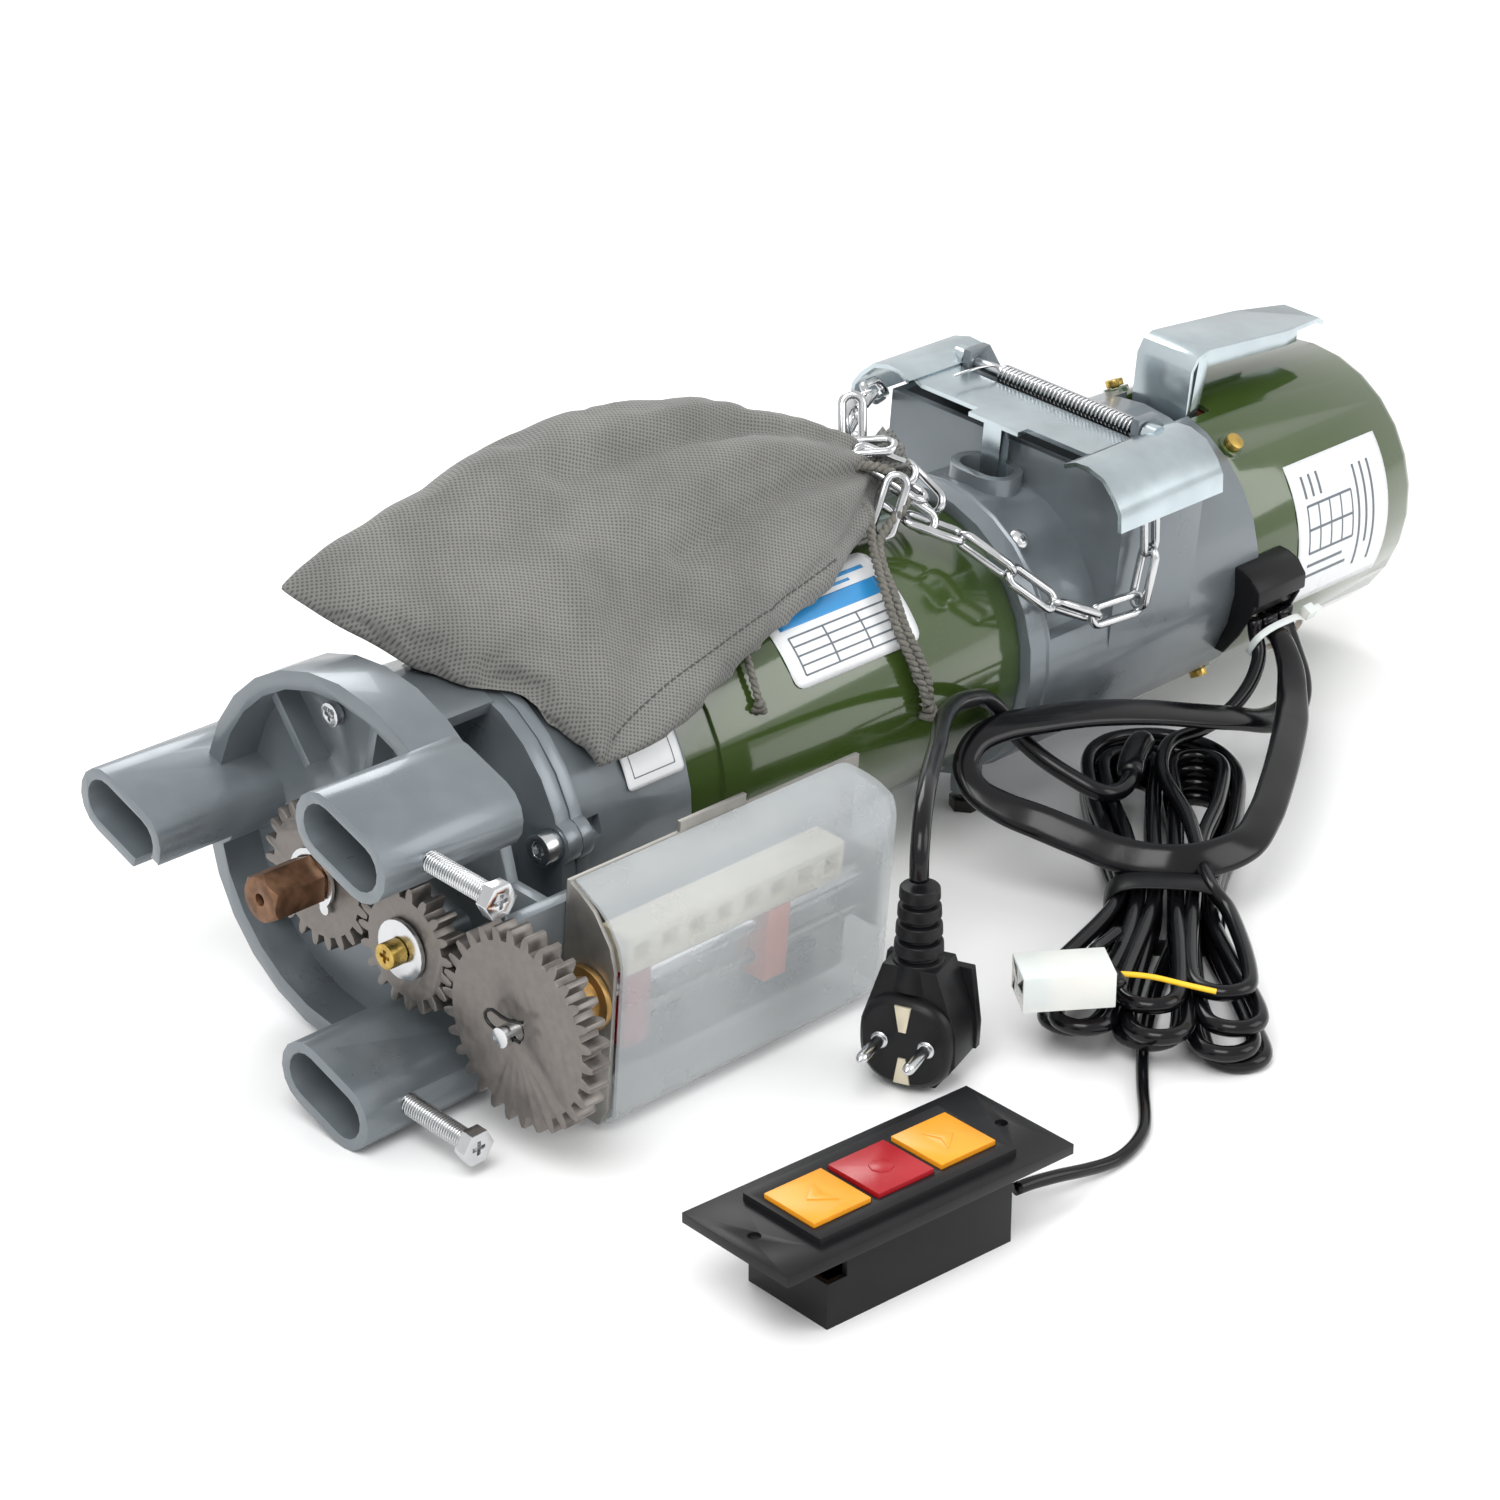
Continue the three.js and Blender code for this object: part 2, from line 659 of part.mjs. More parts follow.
const motorTube = turned([
  [TUBE_START, CAVITY_R], [TUBE_START, 58.5], [158, 58.5], [158, TUBE_R], [TUBE_END, TUBE_R],
  [TUBE_END, CAVITY_R],
]);
place(motor, "motor_tube", motorTube, greenPaint);
place(motor, "stator_core", ring(185, 290, 56.2, 32, [0, 0], BODY_SIDES), copper);
place(motor, "rotor_core", ring(180, 295, 31.5, SHAFT_R + GAP, [0, 0], BODY_SIDES), lamination);
place(motor, "rear_bearing", ring(346, 357, 17, SHAFT_R + GAP, [0, 0], 24), brightSteel);

// ---- chain housing --------------------------------------------------------------------------

const SUPPORT_X = 342.5;
const SUPPORT_Y = 25;
const capNotch = box([480, 506], [-17.5, 17.5], [40, 80]);
const capScrewAngles = { cap_screw_near: 124.4, cap_screw_far: 63.6, cap_screw_low: 238.7 };
const CAP_SCREW_X = 497;

// A radial cylinder at CAP_SCREW_X, at an angle round the motor.
function radialRod(r0, r1, radius, angle, sides = 16) {
  return rodY(r0, r1, radius, [CAP_SCREW_X, 0], sides).rotate([angle, 0, 0]);
}

function pinLug(y0, y1) {
  const side = outlineOf([[440, 58], [440, 72], [424, 94], [411, 94], [410.5, 82], [428, 60]]);
  return prismY(side, y0, y1);
}

function chainHousing() {
  const shaftBoreR = SHAFT_R + 1;
  const shell = turned([
    [HOUSING_START, CAVITY_R], [HOUSING_START, 66], [345, 66], [346, HOUSING_R], [HOUSING_END, HOUSING_R],
    [HOUSING_END, 62.2], [500, 62.2], [500, CAVITY_R], [440, CAVITY_R], [440, shaftBoreR],
    [385, shaftBoreR], [385, CAVITY_R], [356, CAVITY_R], [356, 17.3], [350, 17.3], [350, CAVITY_R],
  ]);
  const recess = ring(347, 385, 75, TUBE_R).intersect(box([346, 386], [-80, 80], [16, 80]));
  const saddle = cut(box([385, 440], [-HOUSING_R, HOUSING_R], [0, 76]), rod(384, 441, 60, [0, 0], BODY_SIDES));
  const chamber = join(ring(389, 436, 63, 11.7), box([389, 436], [-63, 63], [20, 80]));
  const supports = [-SUPPORT_Y, SUPPORT_Y].map((y) =>
    upright(rodZ(-71, -56, 7, [SUPPORT_X, y], 12)),
  );
  const supportHoles = [-SUPPORT_Y, SUPPORT_Y].map((y) =>
    upright(rodZ(-72, -60, 4.3, [SUPPORT_X, y], 12)),
  );
  const screwHoles = Object.values(capScrewAngles).map((angle) => radialRod(50, 70, 2.3, angle, 8));
  const body = cut(join(cut(shell, recess), saddle), chamber);
  return cut(
    join(body, roundBoss(17, 12, 55, 66), pinLug(-50, -46), pinLug(46, 50), ...supports),
    roundBoss(13, 7.5, 50, 70),
    rodY(-60, 60, PIN_R + 0.1, PIN_AT, 12),
    capNotch,
    ...supportHoles,
    ...screwHoles,
  );
}

// The raised socket on top: round-ended, long across the motor.
function roundBoss(halfAcross, halfAlong, z0, z1) {
  return prismZ(roundEnded(373, 0, halfAcross - halfAlong, halfAlong, 90), z0, z1);
}

function chainWheel() {
  const outline = [
    [WHEEL_START, 12], [WHEEL_START, 62], [396, 62], [399, 56], [405, 56], [408, 62], [WHEEL_END, 62],
    [WHEEL_END, 12],
  ];
  const pockets = [];
  for (let i = 0; i < 8; i++) {
    pockets.push(box([398, 406], [-6, 6], [52, 60]).rotate([45 * i, 0, 0]));
  }
  return cut(turned(outline, [0, 0], BODY_SIDES), ...pockets);
}

// The sheet guide that the chain leaves by, hinged on its pin.
function chainGuide() {
  const barLine = [[52, 88], [47, 86], [-47, 86], [-52, 88]];
  const bar = prismX(strip(barLine, 2), 381, 409);
  const shoulder = [[50, 87.6], [56, 90.5], [63, 91], [72, 88.5], [79, 82], [83, 76], [84, 68]];
  const nearLine = shoulder.map(([y, z]) => [-y, z]);
  const near = prismX(strip(nearLine, 2), 362, 430);
  const far = prismX(strip([...shoulder].reverse(), 2), 376, 430);
  const ears = [rodY(-57, -51, 5, PIN_AT, 16), rodY(51, 57, 5, PIN_AT, 16)];
  const tab = box([374.5, 380.5], [-5, 5], [59, 86]);
  const tabTop = box([374.5, 382], [-14, 14], [84, 86]);
  return cut(join(bar, near, far, ...ears, tab, tabTop), rodY(-63, 63, PIN_R + GAP, PIN_AT, 12));
}

place(motor, "chain_housing", chainHousing(), castGrey);
place(motor, "chain_wheel", chainWheel(), gearSteel);
place(motor, "chain_guide", chainGuide(), zinc);
place(motor, "guide_pin", rodY(-62, 62, PIN_R, PIN_AT, 12), brightSteel);
const springOutline = rodY(-45, 32, 4.5, PIN_AT, 16);
place(motor, "guide_spring", cut(springOutline, rodY(-46, 33, 3.3, PIN_AT, 16)), brightSteel);

function supportBolt(y) {
  const head = prismZ(hexagon(13, [SUPPORT_X, y]), -AXIS.z, -AXIS.z + 5.5);
  return upright(join(head, rodZ(-AXIS.z + 5, -61, 4, [SUPPORT_X, y], 12)));
}

place(motor, "housing_bolt_near", supportBolt(-SUPPORT_Y), blackSteel);
place(motor, "housing_bolt_far", supportBolt(SUPPORT_Y), blackSteel);

// ---- brake and end cap ----------------------------------------------------------------------

function endCap() {
  const outline = [
    [CAP_START, 62.5], [CAP_START, CAP_R], [604, CAP_R], [609, 63.5], [CAP_END, 58], [CAP_END, 0],
    [609.5, 0], [609.5, 56.5], [607, 60.5], [603, 62.5],
  ];
  const pads = Object.values(capScrewAngles).map((angle) => radialRod(64, 67.5, 6, angle, 10));
  const holes = Object.values(capScrewAngles).map((angle) => radialRod(50, 75, 2.3, angle, 8));
  return cut(join(turned(outline), ...pads), capNotch, ...holes);
}

function capScrew(angle) {
  return join(radialRod(67.8, 71, 4.2, angle, 12), radialRod(58.5, 68, 1.9, angle, 8));
}

function brakeLever() {
  const side = strip(
    [
      [493.2, 45], [493.2, 84], [496, 88.5], [500.5, 90], [506, 89.6], [540, 86.5], [585, 82.6],
      [592, 82], [597, 79],
    ],
    2.2,
  );
  const blade = prismY(side, -15.5, 15.5);
  const edge = outlineOf([[493.4, 60], [499, 60], [503, 84], [540, 81.2], [586, 77.6], [590, 82.3],
    [540, 87], [501, 90], [496, 88.6]]);
  const flanges = [prismY(edge, -15.5, -13.7), prismY(edge, 13.7, 15.5)];
  const taper = [
    prismZ(outlineOf([[560, 15.6], [600, 9], [600, 20], [560, 20]]), 70, 100),
    prismZ(outlineOf([[560, -20], [600, -20], [600, -9], [560, -15.6]]), 70, 100),
  ];
  const knuckle = rodY(-15.5, 15.5, 3, [492.2, 47], 12);
  return join(cut(join(blade, ...flanges), ...taper), knuckle);
}

place(motor, "end_cap", endCap(), greenPaint);
for (const [name, angle] of Object.entries(capScrewAngles)) {
  place(motor, name, capScrew(angle), yellowZinc);
}
place(motor, "brake_coil", ring(505, 528, 61.5, 14, [0, 0], BODY_SIDES), copper);
place(motor, "brake_disc", ring(530, 538, 45, SHAFT_R + GAP, [0, 0], BODY_SIDES), brakeLining);
place(motor, "brake_lever", brakeLever(), zinc);

// ---- cable boot -----------------------------------------------------------------------------

function cableGrommet() {
  const section = outlineOf([
    [-60, 13], [-69, 12.5], [-76, 10], [-81, 3], [-82, -9], [-69.7, -9], [-67.8, -18], [-62.6, -31],
    [-58, -31],
  ]);
  const hood = prismX(section, 473, 508);
  return cut(hood, rod(470, 510, HOUSING_R + GAP, [0, 0], BODY_SIDES));
}

place(motor, "cable_grommet", cableGrommet(), blackPlastic);

// ---- hand chain and its bag -------------------------------------------------------------------

// One link, long in X and flat in Z.
function link() {
  const ringR = (LINK_WIDTH - LINK_WIRE) / 2;
  const stretch = (LINK_LENGTH - LINK_WIDTH) / 2;
  const torus = new THREE.TorusGeometry(ringR, LINK_WIRE / 2, 5, 8).rotateZ(rad(22.5));
  const position = torus.attributes.position;
  for (let i = 0; i < position.count; i++) {
    position.setX(i, position.getX(i) + Math.sign(position.getX(i)) * stretch);
  }
  return torus;
}

// Links along a route, each turned a quarter from the one before, their wires just joined.
function chainRun(route, firstQuarter) {
  const curve = curveThrough(route);
  const count = Math.floor(curve.getLength() / LINK_STEP);
  const links = [];
  for (let i = 0; i < count; i++) {
    const from = curve.getPointAt(i / count);
    const to = curve.getPointAt((i + 1) / count);
    const along = to.clone().sub(from).normalize();
    const outward = new THREE.Vector3(0, from.y + to.y, from.z + to.z);
    const across = outward.cross(along).normalize();
    const basis = new THREE.Matrix4().makeBasis(along, across, along.clone().cross(across));
    const quarter = new THREE.Matrix4().makeRotationX(((i + firstQuarter) % 2) * (Math.PI / 2));
    const middle = from.add(to).multiplyScalar(0.5);
    links.push(solid(link().applyMatrix4(quarter).applyMatrix4(basis).translate(...middle)));
  }
  return join(...links);
}

const nearChainRoute = [
  [390, -75.7, 73], [391, -76.3, 60], [394, -76.5, 45], [396, -76.5, 33], [388, -76.4, 24],
  [374, -73.5, 21.5], [356, -70, 28.5], [340, -65, 37], [328, -58, 48], [322, -48, 57], [316, -38, 62],
  [315, -27, 64],
];
const farChainRoute = [
  [388, 75.7, 73], [378, 70.5, 76], [362, 62, 80.5], [345, 52, 83], [330, 43, 85], [318, 34, 87],
];

place(motor, "chain_run_near", chainRun(nearChainRoute, 0), brightSteel);
place(motor, "chain_run_far", chainRun(farChainRoute, 1), brightSteel);

// The filled bag as a soft lump over the motor: round-cornered through these centres and radii.
const bagCorners = [
  [36, 56, 90, 5], [62, -12, 71, 6], [108, -56, 38, 5], [150, -42, 48, 8], [192, -35, 53, 10],
  [235, -25, 60, 12], [280, -8, 69, 10], [296, 11, 84, 12], [276, 15, 98, 10], [255, 22, 110, 8],
  [225, 39, 114, 10], [180, 53, 112, 12], [135, 55, 109, 12], [85, 56, 99, 8], [120, 70, 73, 10],
  [220, 60, 75, 10],
];

function chainBag() {
  const points = [];
  for (const [x, y, z, r] of bagCorners) {
    const ball = new THREE.IcosahedronGeometry(r, 1).attributes.position;
    for (let i = 0; i < ball.count; i++) {
      points.push(new THREE.Vector3().fromBufferAttribute(ball, i).add(new THREE.Vector3(x, y, z)));
    }
  }
  const stations = [[-10, 34, 78.8], [33, 81, 66.8], [80, 336, 63.3], [335, 360, 67.8]];
  const under = stations.map(([x0, x1, r]) => rod(x0, x1, r, [0, 0], BODY_SIDES));
  return cut(solid(new ConvexGeometry(points)), ...under);
}

place(motor, "chain_bag", chainBag(), bagCloth);

// ---- cords ----------------------------------------------------------------------------------

function curveThrough(route) {
  return new THREE.CatmullRomCurve3(route.map((p) => new THREE.Vector3(...p)), false, "centripetal");
}

// A round cord along a route.
function tube(route, radius, steps, sides = 8) {
  const section = new THREE.Shape();
  for (let i = 0; i < sides; i++) {
    const [u, v] = polar(radius, (360 * i) / sides);
    if (i === 0) section.moveTo(u, v);
    else section.lineTo(u, v);
  }
  const extrudePath = curveThrough(route);
  return new THREE.ExtrudeGeometry(section, { steps, extrudePath, bevelEnabled: false });
}

const motorLeadRoute = [
  [211.5, 16.2, 62.2], [211.5, 15.9, 56], [210.5, 10, 45], [206, 2, 35.5], [196, -5, 29], [181, -10, 27.5],
  [163, -12.5, 31], [143, -10.5, 38], [124, -7, 44], [102, -2, 51], [81, 3, 56.5], [60, 8.5, 60.5],
  [40, 13, 63], [20, 17, 64.5], [4, 18, 62], [-6, 14, 56], [-9, 5, 49.5], [-5, -6, 44], [3, -20, 39],
  [9, -37, 35], [13, -53, 32.5], [21, -70, 31.8], [36, -81, 31.8], [57, -84, 32.5], [80, -76, 34.5],
  [104, -63.5, 36.5], [129, -49, 38.5], [156, -32, 40], [176, -17, 42], [190, -5, 47], [198, 7, 54],
  [200, 15.6, 58], [200, 16.2, 62.2],
];
const controlLeadRoute = [
  [190.5, 16.2, 62.6], [190.4, 15.5, 57], [187, 10, 49], [178, 6, 41], [164, 3.5, 34.5], [148, 2.5, 31],
  [134, 2.5, 30.3], [118, 3.5, 30.3],
];
const mainsRoute = [
  [66, -37, 30.5], [58, -27, 31], [50, -14, 34.5], [43, 0, 41], [38.5, 13, 48], [34, 22.5, 57], [27, 25, 68],
  [14, 22, 78.5], [-2, 15, 85.5], [-20, 7.5, 91.5], [-38, -3, 96], [-56, -16, 99.5], [-75, -31, 102.5],
  [-94, -45, 105], [-111, -58, 107], [-125, -68.5, 105], [-134, -75.5, 99.5], [-138, -78.6, 92.5],
  [-138.4, -79, 84.2],
];
const buttonCableRoute = [
  [-86.8, -148.2, 3.2], [-92, -152.7, 3], [-98.5, -158.5, 3], [-105, -164, 3], [-112, -169, 3],
  [-119.5, -172.5, 3], [-127, -174.8, 3], [-135, -176, 3.2], [-143, -176, 4], [-151, -175.3, 5.3],
  [-158, -174.8, 6.8], [-165, -173.9, 8.2], [-172, -172.8, 9.2], [-179, -171.6, 9.9], [-186.5, -170.2, 10],
];

place(opener, "motor_lead", solid(tube(motorLeadRoute, LEAD_R, 48)), cableBlack);
place(opener, "control_lead", solid(tube(controlLeadRoute, CONTROL_R, 14)), cableBlack);
place(opener, "mains_cable", solid(tube(mainsRoute, MAINS_R, 30)), cableBlack);
place(opener, "button_cable", solid(tube(buttonCableRoute, BUTTON_CABLE_R, 24)), cableBlack);

// The hank: a flat bundle with round ends and a tied waist.
function cableHank() {
  const shape = new THREE.Shape();
  shape.absarc(0, 0, 34, rad(-95), rad(95), false);
  shape.lineTo(-85, 26);
  shape.lineTo(-122, 22);
  shape.lineTo(-165, 48);
  shape.absarc(-208, 6, 44, rad(95), rad(270), false);
  shape.lineTo(-165, -38);
  shape.lineTo(-122, -20);
  shape.lineTo(-85, -26);
  const flat = extruded(shape, HANK_TOP - HANK_BASE, 6);
  return solid(flat.rotateZ(rad(39.5)).translate(116, 6, HANK_BASE));
}

place(opener, "cable_hank", cableHank(), cableBlack);

function connector() {
  const shell = box([-18, 18], [-11, 11], [HANK_TOP + GAP, HANK_TOP + 15]);
  const ways = [];
  for (let row = 0; row < 2; row++) {
    for (let column = 0; column < 4; column++) {
      const y = -7.8 + column * 5.2;
      const z = HANK_TOP + 4.4 + row * 6.4;
      ways.push(box([-19, -8], [y - 1.9, y + 1.9], [z - 2.4, z + 2.4]));
    }
  }
  return cut(shell, ...ways);
}

const connectorMesh = place(opener, "connector", connector(), whiteNylon);
connectorMesh.position.set(-88, -109, 0);
connectorMesh.rotation.z = rad(-38);

// The angled plug, standing on its edge with its flexible relief upright.
function mainsPlug() {
  const body = join(
    rod(-25, -4, 20, [0, 0], 24),
    turned([[-4, 0], [-4, 20], [0, 17.5], [0, 0]], [0, 0], 24),
    rodZ(0, 38, 7.5, [-13, 0], 16),
  );
  const flats = [
    box([-30, 5], [18, 30], [-30, 10]),
    box([-30, 5], [-30, -18], [-30, 10]),
  ];
  const reliefs = [];
  for (let i = 0; i < 5; i++) reliefs.push(rodZ(34 + i * 6, 37.5 + i * 6, 8 - i * 0.5, [-13, 0], 10));
  const core = rodZ(30, 63, 5, [-13, 0], 10);
  const tip = [[16.9, 0], [16.9, 2.4], [19, 1.2], [19, 0]];
  const pins = [-9.5, 9.5].map((y) => join(rod(-1, 17, 2.4, [y, 0], 10), turned(tip, [y, 0], 10)));
  return join(cut(body, ...flats), core, ...reliefs, ...pins);
}

const plug = place(opener, "mains_plug", mainsPlug(), blackPlastic);
plug.position.set(-150.6, -83.1, 20.3 + GAP);
plug.rotation.z = rad(198.5);

// ---- button station -------------------------------------------------------------------------

const station = new THREE.Group();
station.position.set(STATION.x, STATION.y, 0);
station.rotation.z = rad(STATION.turn);
opener.add(station);

const FLANGE = { length: 134, width: 55, thick: 4 };
const BEZEL = { length: 92, width: 40, height: 3 };
const CASE = { x: [-43, 44], y: [-20.5, 20.5], wall: 2.5 };

function buttonBox() {
  const top = STATION_TOP - FLANGE.thick - GAP;
  const [x0, x1] = CASE.x;
  const [y0, y1] = CASE.y;
  const w = CASE.wall;
  return cut(
    box([x0, x1], [y0, y1], [0, top]),
    box([x0 + w, x1 - w], [y0 + w, y1 - w], [w, top + 1]),
    box([x0 - 1, x0 + 9], [y0 - 1, y0 + 12], [18, top + 1]),
    rod(x1 - 5, x1 + 5, BUTTON_CABLE_R + 0.5, [-12, 10], 12),
  );
}

function buttonPlate() {
  const flange = box(
    [-FLANGE.length / 2, FLANGE.length / 2],
    [-FLANGE.width / 2, FLANGE.width / 2],
    [STATION_TOP - FLANGE.thick, STATION_TOP],
  );
  const bezel = box(
    [-BEZEL.length / 2, BEZEL.length / 2],
    [-BEZEL.width / 2, BEZEL.width / 2],
    [STATION_TOP - 1, STATION_TOP + BEZEL.height],
  );
  const half = BUTTON_SIZE / 2 + GAP;
  const windows = [-1, 0, 1].map((i) =>
    box([i * BUTTON_STEP - half, i * BUTTON_STEP + half], [-half, half], [20, 50]),
  );
  const screwHoles = [-58, 58].map((x) => rodZ(20, 50, 2.4, [x, 0], 16));
  return cut(join(flange, bezel), ...windows, ...screwHoles);
}

// A push button with a raised direction mark on its cap.
function pushButton(i, mark) {
  const x = i * BUTTON_STEP;
  const half = BUTTON_SIZE / 2;
  const top = STATION_TOP + BEZEL.height + 1.6;
  const cap = box([x - half, x + half], [-half, half], [STATION_TOP - 0.8, top]);
  const stem = box([x - 10, x + 10], [-10, 10], [25, STATION_TOP]);
  return join(cap, stem, prismZ(mark(x), top - 0.5, top + 0.5));
}

const chevron = (direction) => (x) =>
  outlineOf([
    [x + 5 * direction, 0], [x - 4 * direction, -7 * direction], [x - 1 * direction, 0],
    [x - 4 * direction, 7 * direction],
  ]);

function disc(x) {
  return new THREE.Shape().absarc(x, 0, 4.5, 0, 2 * Math.PI, false);
}

place(station, "button_box", buttonBox(), blackPlastic);
place(station, "button_plate", buttonPlate(), blackPlastic);
place(station, "button_down", pushButton(-1, chevron(-1)), yellowPlastic);
place(station, "button_stop", pushButton(0, disc), redPlastic);
place(station, "button_up", pushButton(1, chevron(1)), yellowPlastic);

export default opener;
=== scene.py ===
"""Looks of a tubular roller-door opener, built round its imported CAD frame. Metres, +Z up."""
import math

import bmesh
import bpy
import numpy as np
from mathutils.bvhtree import BVHTree
from mathutils import Matrix, Vector, noise


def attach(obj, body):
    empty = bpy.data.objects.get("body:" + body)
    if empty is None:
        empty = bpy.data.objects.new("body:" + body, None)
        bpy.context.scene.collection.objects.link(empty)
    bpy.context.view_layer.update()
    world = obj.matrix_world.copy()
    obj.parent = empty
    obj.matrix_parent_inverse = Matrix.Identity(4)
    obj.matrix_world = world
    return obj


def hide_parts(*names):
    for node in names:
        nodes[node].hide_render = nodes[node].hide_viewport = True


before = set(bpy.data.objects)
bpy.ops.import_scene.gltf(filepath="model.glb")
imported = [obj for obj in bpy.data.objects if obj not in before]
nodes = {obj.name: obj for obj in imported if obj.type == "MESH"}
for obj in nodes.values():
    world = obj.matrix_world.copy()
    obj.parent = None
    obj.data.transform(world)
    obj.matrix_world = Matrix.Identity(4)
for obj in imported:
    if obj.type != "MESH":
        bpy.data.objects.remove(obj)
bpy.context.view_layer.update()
scene = bpy.context.scene

MM = 0.001
AXIS = Vector((-0.2875, 0.091, 0.07965))  # the motor axis, at the gears' front face
ROLL = math.radians(5)
MOTOR = Matrix.Translation(AXIS) @ Matrix.Rotation(ROLL, 4, "X") @ Matrix.Scale(MM, 4)

# ---- camera ----

CAMERA_AT = Vector((-1.1074, -0.9363, 0.73205))
CAMERA_LOOK = Vector((0.6503, 0.6343, -0.4180))

camera_data = bpy.data.cameras.new("camera")
camera_data.sensor_width = 36
camera_data.lens = 93.22
camera = bpy.data.objects.new("camera", camera_data)
camera.location = CAMERA_AT
camera.rotation_euler = CAMERA_LOOK.to_track_quat("-Z", "Y").to_euler()
scene.collection.objects.link(camera)
scene.camera = camera
scene.view_settings.view_transform = "Standard"

# ---- materials ----


def new_material(name, roughness=0.5, metallic=0.0, **sockets):
    """A material whose Principled shader has these plain socket values."""
    material = bpy.data.materials.new(name)
    material.use_nodes = True
    shader = material.node_tree.nodes["Principled BSDF"]
    shader.inputs["Roughness"].default_value = roughness
    shader.inputs["Metallic"].default_value = metallic
    for socket, value in sockets.items():
        shader.inputs[socket.replace("_", " ")].default_value = value
    return material, material.node_tree, shader


def noise_node(tree, scale, detail=4.0, stretch=(1, 1, 1)):
    coords = tree.nodes.new("ShaderNodeTexCoord")
    mapping = tree.nodes.new("ShaderNodeMapping")
    mapping.inputs["Scale"].default_value = stretch
    texture = tree.nodes.new("ShaderNodeTexNoise")
    texture.inputs["Scale"].default_value = scale
    texture.inputs["Detail"].default_value = detail
    tree.links.new(coords.outputs["Object"], mapping.inputs["Vector"])
    tree.links.new(mapping.outputs["Vector"], texture.inputs["Vector"])
    return texture


def ramp(tree, source, low, high, start=0.35, end=0.65):
    node = tree.nodes.new("ShaderNodeValToRGB")
    node.color_ramp.elements[0].position = start
    node.color_ramp.elements[1].position = end
    node.color_ramp.elements[0].color = (*low, 1)
    node.color_ramp.elements[1].color = (*high, 1)
    tree.links.new(source, node.inputs["Fac"])
    return node.outputs["Color"]


def spread(tree, source, low, high):
    node = tree.nodes.new("ShaderNodeMapRange")
    node.inputs["From Min"].default_value = 0.3
    node.inputs["From Max"].default_value = 0.7
    node.inputs["To Min"].default_value = low
    node.inputs["To Max"].default_value = high
    tree.links.new(source, node.inputs["Value"])
    return node.outputs["Result"]


def bump(tree, shader, source, strength, distance):
    node = tree.nodes.new("ShaderNodeBump")
    node.inputs["Strength"].default_value = strength
    node.inputs["Distance"].default_value = distance
    tree.links.new(source, node.inputs["Height"])
    tree.links.new(node.outputs["Normal"], shader.inputs["Normal"])


def finish(name, color, roughness, metallic=0.0, vary=0.12, grain=900, blotch=45, depth=0.00005,
           rough_vary=0.08, stretch=(1, 1, 1), **sockets):
    """A surface of one colour with blotches, fine grain in its relief and uneven gloss."""
    material, tree, shader = new_material(name, roughness, metallic, **sockets)
    broad = noise_node(tree, blotch, 5.0, stretch)
    fine = noise_node(tree, grain, 3.0, stretch)
    low = tuple(c * (1 - vary) for c in color)
    high = tuple(min(1, c * (1 + vary)) for c in color)
    tree.links.new(ramp(tree, broad.outputs["Fac"], low, high), shader.inputs["Base Color"])
    gloss = spread(tree, broad.outputs["Fac"], roughness - rough_vary, roughness + rough_vary)
    tree.links.new(gloss, shader.inputs["Roughness"])
    bump(tree, shader, fine.outputs["Fac"], 0.35, depth)
    return material


cast_grey = finish("cast_grey_paint", (0.172, 0.196, 0.213), 0.34, 0.45, vary=0.06, grain=1500,
                   Coat_Weight=0.25)
green_paint = finish("green_enamel", (0.038, 0.066, 0.0135), 0.14, vary=0.05, grain=260, blotch=18,
                     depth=0.00012, rough_vary=0.04, Coat_Weight=0.8, Coat_Roughness=0.06)
gear_steel = finish("gear_steel", (0.2, 0.182, 0.168), 0.42, 0.85, vary=0.1, grain=2200, blotch=260,
                    depth=0.00008)
shaft_steel = finish("shaft_steel", (0.17, 0.09, 0.05), 0.4, 0.8, vary=0.35, grain=1100, blotch=160)
bright_steel = finish("bright_steel", (0.6, 0.61, 0.62), 0.22, 1.0, vary=0.06, blotch=90, depth=0.00001)
chain_steel = finish("chain_steel", (0.56, 0.57, 0.58), 0.17, 1.0, vary=0.08, grain=700, blotch=90,
                     depth=0.00001)
zinc = finish("zinc_plate", (0.5, 0.57, 0.6), 0.2, 0.95, vary=0.13, grain=300, blotch=26, depth=0.00003,
              rough_vary=0.05)
dull_plate = finish("dull_plate", (0.3, 0.29, 0.27), 0.4, 0.8, vary=0.12, grain=1500, blotch=80)
yellow_zinc = finish("yellow_zinc", (0.5, 0.34, 0.09), 0.3, 0.95, vary=0.2, grain=900, blotch=200)
black_steel = finish("black_steel", (0.02, 0.019, 0.018), 0.4, 0.5, vary=0.3)
lamination = finish("lamination", (0.1, 0.105, 0.117), 0.5, 0.8, vary=0.2, stretch=(12, 1, 1))
copper = finish("copper_winding", (0.34, 0.11, 0.04), 0.35, 0.85, vary=0.25, stretch=(1, 12, 1))
lining = finish("brake_lining", (0.07, 0.06, 0.05), 0.85, vary=0.3)
bronze = finish("bronze", (0.36, 0.22, 0.08), 0.4, 0.9, vary=0.2)
black_plastic = finish("black_plastic", (0.008, 0.008, 0.009), 0.36, vary=0.15, grain=2600, depth=0.00004,
                       rough_vary=0.03, Specular_IOR_Level=0.2)
cable_black = finish("cable_black", (0.004, 0.004, 0.005), 0.18, vary=0.2, grain=500, rough_vary=0.05,
                     Specular_IOR_Level=0.28)
cream_plastic = finish("cream_plastic", (0.8, 0.72, 0.54), 0.5, vary=0.05)
orange_plastic = finish("orange_plastic", (0.78, 0.14, 0.015), 0.4, vary=0.08)
red_plastic = finish("red_plastic", (0.36, 0.006, 0.012), 0.3, vary=0.08, grain=600)
